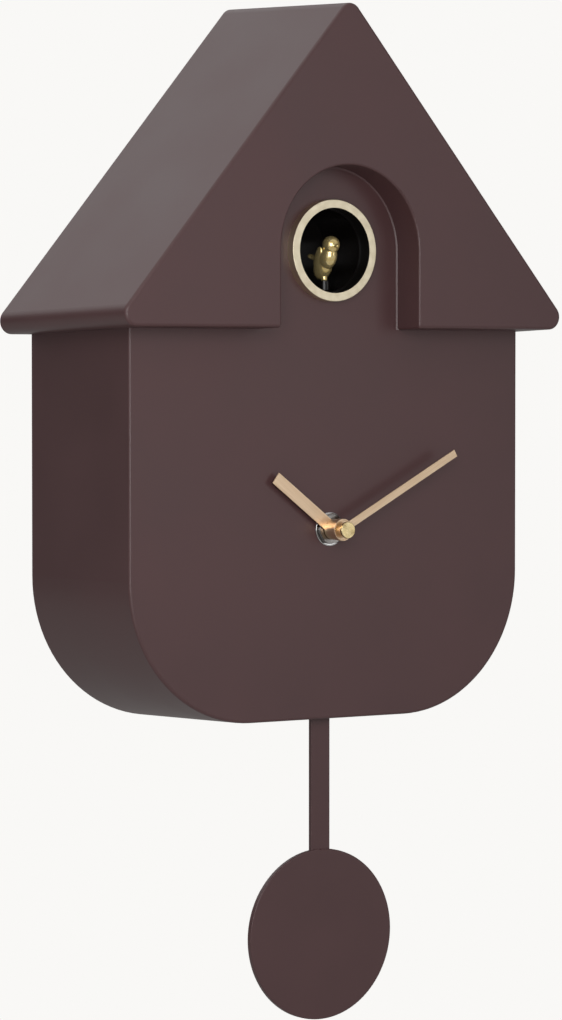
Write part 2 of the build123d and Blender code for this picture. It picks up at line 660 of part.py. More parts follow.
def movement_case():
    """The movement's open box, with the post that the motion wheel turns on."""
    back_of_front = MOVEMENT_FRONT_Y + MOVEMENT_WALL
    case = slab(movement_square(0), MOVEMENT_FRONT_Y, COVER_Y)
    case -= slab(movement_square(MOVEMENT_WALL), back_of_front, COVER_Y)
    case += rod_y(PIVOT_POST_R, -CENTRE_DISTANCE, DIAL_Z, MOVEMENT_FRONT_Y + 1, MOTION_WHEEL_Y + 2)
    case -= rod_y(BUSH_R + 0.05, 0, DIAL_Z, MOVEMENT_FRONT_Y, back_of_front)
    return case


def movement_cover():
    """The movement's lid, with bearings for the minute arbor and the setting knob."""
    cover = slab(movement_square(0), COVER_Y, COVER_Y + MOVEMENT_WALL)
    cover += rod_y(3, 0, DIAL_Z, COVER_Y - 4, COVER_Y)
    cover -= rod_y(ARBOR_R + RUNNING, 0, DIAL_Z, COVER_Y - 4, COVER_Y - 0.5)
    cover += rod_y(4, KNOB_X, DIAL_Z, COVER_Y - 3, COVER_Y + 4)
    cover -= rod_y(KNOB_STEM_R + RUNNING, KNOB_X, DIAL_Z, COVER_Y - 3, COVER_Y + 4)
    return cover


def stepper_motor():
    """The coil that steps the movement, on its iron core."""
    core_y = (-63.5, -62.0)
    bottom = DIAL_Z - 25
    middle = DIAL_Z - 10
    core = block((8, 24), core_y, (bottom, bottom + 4))
    core += block((8, 11), core_y, (bottom, DIAL_Z - 8))
    core += block((21, 24), core_y, (bottom, DIAL_Z - 8))
    coil = Pos(16, -60, middle) * Rot(0, 90, 0) * Cylinder(4.0, 9.0)
    link = block((8, 24), (core_y[0], -60), (middle - 1.5, middle + 2))
    return core + link + coil


def threaded_bush():
    tube = rod_y(BUSH_R, 0, DIAL_Z, BUSH_FRONT_Y, MOVEMENT_FRONT_Y + MOVEMENT_WALL)
    tube = chamfer(tube.edges().group_by(Axis.Y)[0], 0.3)
    tube += rod_y(5.5, 0, DIAL_Z, MOVEMENT_FRONT_Y + MOVEMENT_WALL, MOVEMENT_FRONT_Y + MOVEMENT_WALL + 0.7)
    thread = [BUSH_FRONT_Y + 0.7 + 0.5 * turn for turn in range(3)]
    for y in thread:
        tube -= rod_y(BUSH_R, 0, DIAL_Z, y, y + 0.2) - rod_y(BUSH_R - 0.2, 0, DIAL_Z, y, y + 0.2)
    return tube - rod_y(BUSH_BORE_R, 0, DIAL_Z, BUSH_FRONT_Y, MOVEMENT_FRONT_Y + 3)


def rubber_washer():
    sketch = Pos(0, DIAL_Z) * (Circle(9.0) - Circle(BUSH_R + 0.1))
    return slab(sketch, DIAL_BACK_Y, MOVEMENT_FRONT_Y)


def dial_washer():
    sketch = Pos(0, DIAL_Z) * (Circle(6.75) - Circle(BUSH_R + 0.1))
    return slab(sketch, BODY_FRONT_Y - 0.5, BODY_FRONT_Y)


def bush_nut():
    sketch = Pos(0, DIAL_Z) * (RegularPolygon(5.5, 6, major_radius=False) - Circle(BUSH_R + 0.05))
    nut = slab(sketch, BODY_FRONT_Y - 2.0, BODY_FRONT_Y - 0.5)
    crown = rod_y(6.35, 0, DIAL_Z, BODY_FRONT_Y - 2.0, BODY_FRONT_Y - 0.5)
    crown = chamfer(crown.edges().group_by(Axis.Y)[0], 0.6)
    return nut & crown


def hour_wheel():
    rim = gear_sketch(HOUR_MODULE, HOUR_TEETH, 180, 0.05) - Circle(ARBOR_R + RUNNING)
    wheel = slab(Pos(0, DIAL_Z) * rim, HOUR_WHEEL_Y - WHEEL_T / 2, HOUR_WHEEL_Y + WHEEL_T / 2)
    pipe = Pos(0, DIAL_Z) * (Circle(PIPE_R) - Circle(ARBOR_R + RUNNING))
    return wheel + slab(pipe, PIPE_FRONT_Y, HOUR_WHEEL_Y)


def motion_wheel():
    bore = Circle(PIVOT_POST_R + RUNNING)
    wheel = gear_sketch(MINUTE_MODULE, MOTION_TEETH, 180 / MOTION_TEETH, 0.07) - bore
    pinion = gear_sketch(HOUR_MODULE, SMALL_TEETH, 180 / SMALL_TEETH, 0.05) - bore
    at = Pos(-CENTRE_DISTANCE, DIAL_Z)
    piece = slab(at * wheel, MOTION_WHEEL_Y - WHEEL_T / 2, MOTION_WHEEL_Y + WHEEL_T / 2)
    return piece + slab(at * pinion, HOUR_WHEEL_Y - WHEEL_T / 2 - PINION_EXTRA, MOTION_WHEEL_Y)


def motion_pinion(x, tooth_at):
    """A small minute-module pinion in the motion wheel's plane."""
    teeth = gear_sketch(MINUTE_MODULE, SMALL_TEETH, tooth_at, 0.07)
    half = WHEEL_T / 2 + PINION_EXTRA
    return slab(Pos(x, DIAL_Z) * teeth, MOTION_WHEEL_Y - half, MOTION_WHEEL_Y + half)


def minute_arbor():
    return rod_y(ARBOR_R, 0, DIAL_Z, ARBOR_FRONT_Y, COVER_Y - 0.9) + motion_pinion(0, 180)


def time_set_knob():
    """A fluted knob at the back, on a long stem whose pinion turns the motion wheel."""
    knob = rod_y(KNOB_STEM_R, KNOB_X, DIAL_Z, MOTION_WHEEL_Y, KNOB_Y[0]) + motion_pinion(KNOB_X, 0)
    grip = rod_y(KNOB_R, KNOB_X, DIAL_Z, *KNOB_Y)
    grip = fillet(grip.edges().group_by(Axis.Y)[-1], 0.8)
    for spot in PolarLocations(KNOB_R + 0.3, 18):
        grip -= slab(Pos(KNOB_X, DIAL_Z) * spot * Circle(0.8), *KNOB_Y)
    return knob + grip


def hand_blade(angle, length, width, face_y):
    """A flat parallel blade, turned anticlockwise from +X by angle."""
    turn = Pos(0, DIAL_Z) * Rot(0, 0, angle)
    return slab(turn * Pos(length / 2, 0) * Rectangle(length, width), face_y, face_y + HAND_T)


def hand_hub(radius, ends_y):
    hub = rod_y(radius, 0, DIAL_Z, *ends_y)
    return fillet(hub.edges().group_by(Axis.Y)[0], 0.15)


def hour_hand():
    blade = hand_blade(HOUR_ANGLE, HOUR_LENGTH, HOUR_WIDTH, HOUR_FACE_Y)
    return blade + hand_hub(HOUR_HUB_R, HOUR_HUB_Y) - rod_y(PIPE_R, 0, DIAL_Z, *HOUR_HUB_Y)


def minute_hand():
    """The long hand, whose hub has a shallow dish in its front."""
    blade = hand_blade(MINUTE_ANGLE, MINUTE_LENGTH, MINUTE_WIDTH, MINUTE_FACE_Y)
    minute = blade + hand_hub(MINUTE_HUB_R, MINUTE_HUB_Y) - rod_y(ARBOR_R, 0, DIAL_Z, *MINUTE_HUB_Y)
    dish = rod_y(MINUTE_HUB_R - 0.5, 0, DIAL_Z, MINUTE_HUB_Y[0], MINUTE_HUB_Y[0] + 0.4)
    return minute - (dish - rod_y(CAP_NECK_R, 0, DIAL_Z, MINUTE_HUB_Y[0], MINUTE_HUB_Y[1]))


def hand_cap():
    """The turned nut that holds the minute hand: a round head on a narrow neck."""
    cap = rod_y(CAP_R, 0, DIAL_Z, CAP_FRONT_Y, CAP_FRONT_Y + CAP_HEAD_T)
    cap = fillet(cap.edges(), 0.25)
    cap += rod_y(CAP_NECK_R, 0, DIAL_Z, CAP_FRONT_Y + CAP_HEAD_T, MINUTE_HUB_Y[0])
    return cap - rod_y(ARBOR_R, 0, DIAL_Z, ARBOR_FRONT_Y, MINUTE_HUB_Y[0])


# Pendulum

def pendulum_case():
    """The unit that swings the pendulum: an open box with two ears and the pin's boss."""
    outer = panel((-UNIT_HALF, UNIT_HALF), UNIT_Z, 2.5)
    half = UNIT_HALF - UNIT_WALL
    inner = panel((-half, half), (UNIT_Z[0] + UNIT_WALL, UNIT_Z[1] - UNIT_WALL), 1.5)
    floor_y = UNIT_FRONT_Y + UNIT_WALL
    box = slab(outer, UNIT_FRONT_Y, UNIT_BACK_Y) - slab(inner, floor_y, UNIT_BACK_Y)
    ears = SlotOverall(2 * UNIT_EAR_X + 8, 8)
    box += slab(Pos(0, UNIT_EAR_Z) * ears, UNIT_FRONT_Y, floor_y)
    box += rod_y(3, 0, PIVOT_Z, UNIT_FRONT_Y, -50)
    box -= rod_y(PIN_R, 0, PIVOT_Z, UNIT_FRONT_Y, -50.5)
    for side in (-1, 1):
        box -= rod_y(SCREW_R, side * UNIT_EAR_X, UNIT_EAR_Z, UNIT_FRONT_Y, floor_y)
    return box


def drive_coil():
    floor_y = UNIT_FRONT_Y + UNIT_WALL
    coil = Pos(0, COIL_Z) * (Circle(3.9) - Circle(1.4))
    core = Pos(0, COIL_Z) * Circle(1.4)
    return slab(coil, floor_y, -49) + slab(core, floor_y, -48)


def pendulum_pin():
    return rod_y(PIN_R, 0, PIVOT_Z, DIAL_BACK_Y + 0.9, -50.6)


def pendulum_lever():
    blade_z = (PEG_Z - 4, PIVOT_Z)
    sheet = panel_flat((-3, 3), blade_z) + Pos(0, PIVOT_Z) * Circle(3.2)
    lever = slab(sheet, LEVER_FRONT_Y, LEVER_FRONT_Y + LEVER_T)
    lever += rod_y(3.2, 0, PIVOT_Z, LEVER_FRONT_Y, UNIT_FRONT_Y - 0.6)
    lever += rod_y(1.5, 0, PEG_Z, ROD_FRONT_Y - 0.8, LEVER_FRONT_Y)
    return lever - rod_y(PIN_R + RUNNING, 0, PIVOT_Z, LEVER_FRONT_Y, UNIT_FRONT_Y)


def pendulum_magnet():
    return rod_y(3.5, 0, COIL_Z, LEVER_FRONT_Y + LEVER_T, UNIT_FRONT_Y - 0.6)


def pendulum_rod():
    strip = panel((-ROD_HALF, ROD_HALF), (BOB_Z - 19, ROD_TOP_Z), 2.0)
    strip -= Pos(0, PEG_Z) * Circle(1.6)
    rod = slab(strip, ROD_FRONT_Y, ROD_FRONT_Y + ROD_T)
    return chamfer(rod.edges().filter_by(Axis.Z), 0.15)


def rod_seat():
    """Half the width of the groove that the rod lies in."""
    return ROD_HALF + 0.05


def bob():
    """The plain disc, with a groove for the rod down its back."""
    disc = rod_y(BOB_R, 0, BOB_Z, BOB_FRONT_Y, BOB_FRONT_Y + BOB_T)
    disc = fillet(disc.edges(), 0.45)
    groove = panel_flat((-rod_seat(), rod_seat()), (BOB_Z - 19.1, BOB_Z + BOB_R + 1))
    return disc - slab(groove, ROD_FRONT_Y, BOB_FRONT_Y + BOB_T)


def bob_clip():
    """The strap behind the disc that the rod slides through."""
    disc_back = BOB_FRONT_Y + BOB_T
    rod_back = ROD_FRONT_Y + ROD_T
    strap = slab(Pos(0, BOB_Z) * RectangleRounded(24, 12, 2), disc_back, rod_back + 1.2)
    return strap - block((-rod_seat(), rod_seat()), (disc_back, rod_back), (BOB_Z - 6, BOB_Z + 6))


# Battery box

def battery_box():
    """The tray for three cells, open to the back, with two screwed ears."""
    box = slab(panel(BOX_X, BOX_Z, 2.0), BOX_FRONT_Y, BACK_INNER_Y)
    inner_x = (BOX_X[0] + BOX_WALL, BOX_X[1] - BOX_WALL)
    inner_z = (BOX_Z[0] + BOX_WALL, BOX_Z[1] - BOX_WALL)
    box -= slab(panel(inner_x, inner_z, 1.0), BOX_FRONT_Y + BOX_WALL, BACK_INNER_Y)
    for x, z in box_screws():
        ear = slab(Pos(x, z) * Rectangle(9, 9), BACK_INNER_Y - BOX_EAR_T, BACK_INNER_Y)
        ear -= slab(panel(BOX_X, BOX_Z, 2.0), BOX_FRONT_Y, BACK_INNER_Y)
        box += ear
        box -= rod_y(SCREW_R, x, z, BACK_INNER_Y - BOX_EAR_T, BACK_INNER_Y)
    return box


def cell_x():
    middle = sum(BOX_X) / 2
    return [middle + CELL_PITCH * step for step in (-1, 0, 1)]


def battery_cells():
    top = CELL_BOTTOM_Z + CELL_LENGTH
    cells = []
    for x in cell_x():
        can = layer(Pos(x, CELL_Y) * Circle(CELL_R), CELL_BOTTOM_Z, top)
        can = fillet(can.edges(), 0.6)
        nub = layer(Pos(x, CELL_Y) * Circle(2.6), top - 0.5, top + 1.3)
        cells.append(can + nub)
    return cells


def battery_springs():
    springs = []
    for x in cell_x():
        path = Helix(pitch=1.05, height=4.2, radius=3.0)
        wire = sweep(Plane(path @ 0, z_dir=path % 0) * Circle(0.3), path, is_frenet=True)
        springs.append(Pos(x, CELL_Y, CELL_BOTTOM_Z - 4.6) * wire)
    return springs


def battery_contacts():
    top = BOX_Z[1] - BOX_WALL
    bottom = BOX_Z[0] + BOX_WALL
    plates = []
    for x in cell_x():
        y = (CELL_Y - 5, CELL_Y + 5)
        plates.append(block((x - 5.5, x + 5.5), y, (top - 0.4, top)))
        plates.append(block((x - 5.5, x + 5.5), y, (bottom, bottom + 0.05)))
    return plates


def battery_door():
    """The sliding cover, with finger grooves near its lower end."""
    door = slab(door_outline(), -DOOR_T - 0.05, -0.1)
    for step in range(5):
        z = BOX_Z[0] + 8 + 2.2 * step
        door -= slab(Pos(sum(BOX_X) / 2, z) * SlotOverall(16, 1.0), -0.5, -0.1)
    return door


# Loudspeaker and circuit board

def speaker_funnel(mouth_r, mouth_y, throat_r, throat_y):
    """A solid cone between two circles about the loudspeaker's axis."""
    at = Pos(SPEAKER_X, SPEAKER_Z)
    mouth = Plane.XZ.offset(-mouth_y) * at * Circle(mouth_r)
    throat = Plane.XZ.offset(-throat_y) * at * Circle(throat_r)
    return loft([mouth, throat])


def speaker_frame():
    """The pressed basket: a flat screwed ring and a cone with four windows."""
    rim_y = BACK_INNER_Y - SPEAKER_RIM_T
    back_y = BACK_INNER_Y - SPEAKER_DEPTH
    at = Pos(SPEAKER_X, SPEAKER_Z)
    frame = slab(at * (Circle(SPEAKER_R) - Circle(SPEAKER_R - 6)), rim_y, BACK_INNER_Y)
    for x, z in speaker_screws():
        frame -= rod_y(SCREW_R, x, z, rim_y, BACK_INNER_Y)
    basket = speaker_funnel(SPEAKER_R - 5, rim_y, 12, back_y)
    basket -= speaker_funnel(SPEAKER_R - 6, rim_y, 11, back_y)
    for spot in PolarLocations(16.5, 4):
        basket -= slab(at * spot * Circle(3.6), back_y, rim_y)
    return frame + basket


def speaker_cone():
    outer = speaker_funnel(SPEAKER_R - 6.2, BACK_INNER_Y - 0.8, 7, BACK_INNER_Y - 7.6)
    inner = speaker_funnel(SPEAKER_R - 6.7, BACK_INNER_Y - 0.8, 6.4, BACK_INNER_Y - 7.1)
    return outer - inner


def speaker_magnet():
    back_y = BACK_INNER_Y - SPEAKER_DEPTH
    return rod_y(12, SPEAKER_X, SPEAKER_Z, back_y - SPEAKER_MAGNET_T, back_y)


def circuit_board():
    board = slab(panel(BOARD_X, BOARD_Z, 1.0), BOARD_Y - BOARD_T, BOARD_Y)
    for x, z in board_posts():
        board -= rod_y(SCREW_R, x, z, BOARD_Y - BOARD_T, BOARD_Y)
    return board


def board_chip(x, z, width, height):
    """A flat package with four pairs of legs."""
    top = BOARD_Y - BOARD_T
    chip = block((x - width / 2, x + width / 2), (top - 1.6, top - 0.3), (z - height / 2, z + height / 2))
    for step in range(4):
        leg_x = x + width * (step - 1.5) / 5
        leg_z = (z - height / 2 - 1, z + height / 2 + 1)
        chip += block((leg_x - 0.4, leg_x + 0.4), (top - 0.7, top), leg_z)
    return chip


def board_chips():
    bottom = BOARD_Z[0]
    return [
        board_chip(48, bottom + 20, 12, 8),
        board_chip(66, bottom + 18, 8, 6),
        board_chip(38, bottom + 32, 6, 5),
    ]


def board_capacitors():
    top = BOARD_Y - BOARD_T
    cans = []
    for x, rise, radius in ((34, 12, 4.0), (58, 33, 3.0), (72, 31, 3.0)):
        can = rod_y(radius, x, BOARD_Z[0] + rise, top - 9, top)
        cans.append(fillet(can.edges().group_by(Axis.Y)[0], 0.6))
    return cans


def control_bases():
    """The potentiometer, slide switch and push switch that stand on the board behind the controls."""
    pot = slab(Pos(VOLUME_X, CONTROL_Z) * Circle(5.0), BOARD_Y, BOARD_Y + 3.0)
    slider = slab(Pos(SWITCH_X, CONTROL_Z) * Rectangle(11, 6), BOARD_Y, BOARD_Y + 4.0)
    slider -= slab(Pos(SWITCH_X, CONTROL_Z) * Rectangle(8.4, 3.4), BOARD_Y + 1.5, BOARD_Y + 4.0)
    push = slab(Pos(BUTTON_X, CONTROL_Z) * Rectangle(6, 6), BOARD_Y, BOARD_Y + 3.5)
    return [pot, slider, push]


def volume_knob():
    knob = rod_y(6.3, VOLUME_X, CONTROL_Z, -6.5, -0.6)
    knob += rod_y(2.0, VOLUME_X, CONTROL_Z, BOARD_Y + 3.0, -6.5)
    knob -= slab(Pos(VOLUME_X, CONTROL_Z) * Rectangle(1.0, 8.4), -1.4, -0.6)
    for spot in PolarLocations(6.6, 16):
        knob -= slab(Pos(VOLUME_X, CONTROL_Z) * spot * Circle(0.7), -6.5, -0.6)
    return knob


def mode_switch():
    slider = slab(Pos(SWITCH_X, CONTROL_Z) * Rectangle(4.0, 3.0), BOARD_Y + 1.6, -4.0)
    slider += slab(Pos(SWITCH_X, CONTROL_Z) * RectangleRounded(3.4, 3.2, 0.6), -4.0, -0.4)
    return slider


def test_button():
    button = rod_y(3.2, BUTTON_X, CONTROL_Z, -3.4, -0.4)
    button = fillet(button.edges().group_by(Axis.Y)[-1], 0.6)
    button += rod_y(1.6, BUTTON_X, CONTROL_Z, -6.8, -3.4)
    return button + rod_y(4.2, BUTTON_X, CONTROL_Z, -4.4, -3.4)


def light_sensor():
    spot = Pos(SENSOR_X, SENSOR_Y)
    lens = layer(spot * Circle(2.5), BODY_BOTTOM_Z - 0.4, BODY_BOTTOM_Z + 6)
    lens = fillet(lens.edges().group_by(Axis.Z)[0], 1.0)
    return lens + layer(spot * Circle(3.6), BODY_BOTTOM_Z + WALL + 0.2, BODY_BOTTOM_Z + WALL + 1.4)


# All screws of each kind

def case_screws():
    return [screw_y(x, z, -HEAD_T, 11) for x, z in CASE_SCREWS]


def roof_screws():
    return [screw_y(x, z, DIAL_BACK_Y, 10) for x, z in ROOF_SCREWS]


def unit_screws():
    """The two screws through the pendulum unit's ears."""
    return [screw_y(side * UNIT_EAR_X, UNIT_EAR_Z, UNIT_FRONT_Y + UNIT_WALL, 7) for side in (-1, 1)]


def mirrored_screw(x, z, seat, length):
    """The same screw driven towards the back, its head in front of the plane Y=seat."""
    return mirror(screw_y(x, z, -seat, length), about=Plane.XZ)


def plate_screws():
    """Short screws driven into the back plate from inside."""
    spots = [(x, z, BOARD_Y - BOARD_T, 7) for x, z in board_posts()]
    spots += [(x, z, BACK_INNER_Y - SPEAKER_RIM_T, 2.8) for x, z in speaker_screws()]
    spots += [(x, z, BACK_INNER_Y - BOX_EAR_T, 2.6) for x, z in box_screws()]
    spots += [(x, z, BACK_INNER_Y - BASE_FLANGE_T, 3.6) for x, z in slide_screws()]
    return [mirrored_screw(*spot) for spot in spots]


PIECES = {
    "roof_shell": roof_shell,
    "body_shell": body_shell,
    "back_plate": back_plate,
    "hanger_plate": hanger_plate,
    "ring_bezel": ring_bezel,
    "bird_tunnel": bird_tunnel,
    "bird": bird,
    "bird_arm": bird_arm,
    "bird_carriage": bird_carriage,
    "slide_base": slide_base,
    "bird_pinion": bird_pinion,
    "reduction_gear": reduction_gear,
    "drive_shaft": drive_shaft,
    "bird_motor": motor,
    "motor_pinion": motor_pinion,
    "movement_case": movement_case,
    "movement_cover": movement_cover,
    "stepper_motor": stepper_motor,
    "threaded_bush": threaded_bush,
    "rubber_washer": rubber_washer,
    "dial_washer": dial_washer,
    "bush_nut": bush_nut,
    "hour_wheel": hour_wheel,
    "hour_hand": hour_hand,
    "minute_arbor": minute_arbor,
    "minute_hand": minute_hand,
    "hand_cap": hand_cap,
    "motion_wheel": motion_wheel,
    "time_set_knob": time_set_knob,
    "pendulum_case": pendulum_case,
    "drive_coil": drive_coil,
    "pendulum_pin": pendulum_pin,
    "pendulum_lever": pendulum_lever,
    "pendulum_magnet": pendulum_magnet,
    "pendulum_rod": pendulum_rod,
    "bob": bob,
    "bob_clip": bob_clip,
    "battery_box": battery_box,
    "battery_door": battery_door,
    "speaker_frame": speaker_frame,
    "speaker_cone": speaker_cone,
    "speaker_magnet": speaker_magnet,
    "circuit_board": circuit_board,
    "volume_knob": volume_knob,
    "mode_switch": mode_switch,
    "test_button": test_button,
    "light_sensor": light_sensor,
}

GROUPS = {
    "hanger_screws": hanger_screws,
    "battery_cells": battery_cells,
    "battery_springs": battery_springs,
    "battery_contacts": battery_contacts,
    "board_chips": board_chips,
    "board_capacitors": board_capacitors,
    "control_bases": control_bases,
    "case_screws": case_screws,
    "roof_screws": roof_screws,
    "unit_screws": unit_screws,
    "plate_screws": plate_screws,
}


os.makedirs("parts", exist_ok=True)
for node, make in PIECES.items():
    save(make(), node)
for node, make in GROUPS.items():
    save_group(make(), node)
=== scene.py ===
import logging
import math
from dataclasses import dataclass, field, fields
from enum import Enum

import bmesh
import bpy
from mathutils import Matrix, Vector


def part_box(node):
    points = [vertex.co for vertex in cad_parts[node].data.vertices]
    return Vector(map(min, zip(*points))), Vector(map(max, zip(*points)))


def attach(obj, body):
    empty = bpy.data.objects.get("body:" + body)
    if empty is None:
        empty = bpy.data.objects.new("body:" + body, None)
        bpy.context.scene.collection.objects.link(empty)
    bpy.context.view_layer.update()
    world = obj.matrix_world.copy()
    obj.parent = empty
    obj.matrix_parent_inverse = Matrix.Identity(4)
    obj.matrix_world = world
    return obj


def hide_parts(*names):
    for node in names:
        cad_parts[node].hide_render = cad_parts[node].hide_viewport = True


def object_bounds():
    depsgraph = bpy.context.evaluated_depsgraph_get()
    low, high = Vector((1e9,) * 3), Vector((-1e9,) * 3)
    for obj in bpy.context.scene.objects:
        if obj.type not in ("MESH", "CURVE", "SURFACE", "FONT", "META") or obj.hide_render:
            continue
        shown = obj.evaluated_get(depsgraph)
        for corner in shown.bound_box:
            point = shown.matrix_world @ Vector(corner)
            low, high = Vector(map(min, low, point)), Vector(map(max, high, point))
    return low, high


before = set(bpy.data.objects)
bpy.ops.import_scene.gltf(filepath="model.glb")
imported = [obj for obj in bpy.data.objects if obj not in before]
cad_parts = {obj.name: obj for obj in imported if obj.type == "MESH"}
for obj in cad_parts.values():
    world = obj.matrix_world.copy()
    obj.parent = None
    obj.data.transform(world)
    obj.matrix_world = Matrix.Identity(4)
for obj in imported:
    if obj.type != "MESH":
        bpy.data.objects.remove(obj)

CAD_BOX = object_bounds()
MM = 0.001
ORIGIN = Vector((0.0, 0.0, 0.0))
MERGE_DISTANCE = 1e-7
# The part of a noise texture's range that its values mostly fill
NOISE_LOW = 0.3
NOISE_HIGH = 0.7
# A wave texture repeats every two pi twentieths of a unit
WAVE_REPEATS = 20.0 / math.tau
LOG = logging.getLogger("cuckoo_clock")

NodeTree = bpy.types.NodeTree
Socket = bpy.types.NodeSocket


# ---------------------------------------------------------------- colours and nodes


def linear(hex_colour: str) -> tuple[float, float, float, float]:
    """Turn an sRGB hex colour into linear light.

    Args:
        hex_colour: Six hex digits after a hash sign.

    Returns:
        Red, green, blue and an alpha of one.
    """
    channels = [int(hex_colour[i:i + 2], 16) / 255 for i in (1, 3, 5)]
    light = [c / 12.92 if c <= 0.04045 else ((c + 0.055) / 1.055) ** 2.4 for c in channels]
    return (light[0], light[1], light[2], 1.0)


def add_node(tree: NodeTree, kind: str, settings: dict | None = None, values: dict | None = None,
             links: dict | None = None) -> bpy.types.Node:
    """Add a shader node with its settings, socket values and incoming links.

    Args:
        tree: The material's node tree.
        kind: The node's type name.
        settings: Properties of the node itself.
        values: Default values by socket name or number.
        links: Outputs of other nodes by socket name or number.

    Returns:
        The new node.
    """
    node = tree.nodes.new(kind)
    for name, value in (settings or {}).items():
        setattr(node, name, value)
    for key, value in (values or {}).items():
        node.inputs[key].default_value = value
    for key, output in (links or {}).items():
        tree.links.new(output, node.inputs[key])
    return node


def even(size: float) -> Vector:
    """Give the same size on every axis.

    Args:
        size: The size in millimetres.

    Returns:
        The sizes in metres.
    """
    return Vector((1, 1, 1)) * size * MM


def place(tree: NodeTree, centre: Vector, turn: float, size: Vector) -> Socket:
    """Object coordinates seen from a centre, turned about Y and divided by a size on each axis.

    Args:
        tree: The material's node tree.
        centre: The pattern's middle, in metres.
        turn: The turn about Y, in radians.
        size: What counts as one unit on each axis, in metres.

    Returns:
        The vector socket to feed a texture.
    """
    where = add_node(tree, "ShaderNodeTexCoord")
    mapped = add_node(
        tree,
        "ShaderNodeMapping",
        {"vector_type": "TEXTURE"},
        {"Location": centre, "Rotation": (0.0, turn, 0.0), "Scale": size},
        {"Vector": where.outputs["Object"]},
    )
    return mapped.outputs["Vector"]


def noise(tree: NodeTree, vector: Socket, detail: float, roughness: float = 0.5) -> Socket:
    """Noise of one unit on the given coordinates.

    Args:
        tree: The material's node tree.
        vector: Coordinates already divided by the pattern's size.
        detail: Octaves of finer noise.
        roughness: How strong the finer octaves are.

    Returns:
        The noise value's socket.
    """
    made = add_node(tree, "ShaderNodeTexNoise", None,
                    {"Scale": 1.0, "Detail": detail, "Roughness": roughness}, {"Vector": vector})
    return made.outputs["Fac"]


def spread(tree: NodeTree, value: Socket, low: float, high: float) -> Socket:
    """Stretch the middle of a noise to a range.

    Args:
        tree: The material's node tree.
        value: Noise about one half.
        low: The result where the noise is low.
        high: The result where the noise is high.

    Returns:
        The stretched value's socket.
    """
    made = add_node(tree, "ShaderNodeMapRange", {"clamp": True},
                    {"From Min": NOISE_LOW, "From Max": NOISE_HIGH, "To Min": low, "To Max": high},
                    {"Value": value})
    return made.outputs["Result"]


# ---------------------------------------------------------------- finishes


@dataclass(frozen=True)
class Finish:
    """A surface made of one material by one process.

    Fields give the common colour, the shader's typical values and how far each wanders.
    """

    name: str
    colour: str
    second: str
    roughness: float
    wander: float
    metallic: float = 0.0
    ior: float = 1.5

    def make(self) -> bpy.types.Material:
        """Build the material.

        Returns:
            The finished node material.
        """
        material = bpy.data.materials.new(self.name)
        material.use_nodes = True
        tree = material.node_tree
        tree.nodes.clear()
        shader = add_node(tree, "ShaderNodeBsdfPrincipled", None, {
            "Base Color": linear(self.colour), "Roughness": self.roughness, "Metallic": self.metallic,
            "IOR": self.ior})
        add_node(tree, "ShaderNodeOutputMaterial", None, None, {"Surface": shader.outputs["BSDF"]})
        self.detail(tree, shader)
        return material

    def tint(self, tree: NodeTree, shader: bpy.types.Node, pattern: Socket) -> None:
        """Let a pattern move the colour between its two hexes and the roughness by its wander.

        Args:
            tree: The material's node tree.
            shader: The principled shader.
            pattern: A value about one half.
        """
        mixed = add_node(tree, "ShaderNodeMix", {"data_type": "RGBA"},
                         {6: linear(self.colour), 7: linear(self.second)},
                         {0: spread(tree, pattern, 0.0, 1.0)})
        tree.links.new(mixed.outputs[2], shader.inputs["Base Color"])
        rough = spread(tree, pattern, self.roughness - self.wander, self.roughness + self.wander)
        tree.links.new(rough, shader.inputs["Roughness"])

    def relief(self, tree: NodeTree, shader: bpy.types.Node, height: Socket, strength: float,
               size: float) -> None:
        """Add surface relief.

        Args:
            tree: The material's node tree.
            shader: The principled shader.
            height: The pattern's height, from zero to one.
            strength: How strong it is, from zero to one.
            size: The relief's depth, in millimetres.
        """
        bump = add_node(tree, "ShaderNodeBump", None, {"Strength": strength, "Distance": size * MM},
                        {"Height": height})
        tree.links.new(bump.outputs["Normal"], shader.inputs["Normal"])

    def detail(self, tree: NodeTree, shader: bpy.types.Node) -> None:
        """Add the finish's own pattern.

        Args:
            tree: The material's node tree.
            shader: The principled shader.
        """
        raise NotImplementedError


@dataclass(frozen=True)
class MouldedPlastic(Finish):
    """Injection-moulded thermoplastic from a spark-eroded tool: an even, fine pebbled satin."""

    grain: float = 0.55
    grain_depth: float = 0.25
    grain_height: float = 0.04
    cloud: float = 38.0

    def detail(self, tree: NodeTree, shader: bpy.types.Node) -> None:
        """Pebble grain in relief, under a slow drift of tone where the melt flowed.

        Args:
            tree: The material's node tree.
            shader: The principled shader.
        """
        drift = noise(tree, place(tree, ORIGIN, 0.0, even(self.cloud)), 3.0)
        self.tint(tree, shader, drift)
        pebbles = noise(tree, place(tree, ORIGIN, 0.0, even(self.grain)), 2.0, 0.6)
        self.relief(tree, shader, pebbles, self.grain_depth, self.grain_height)


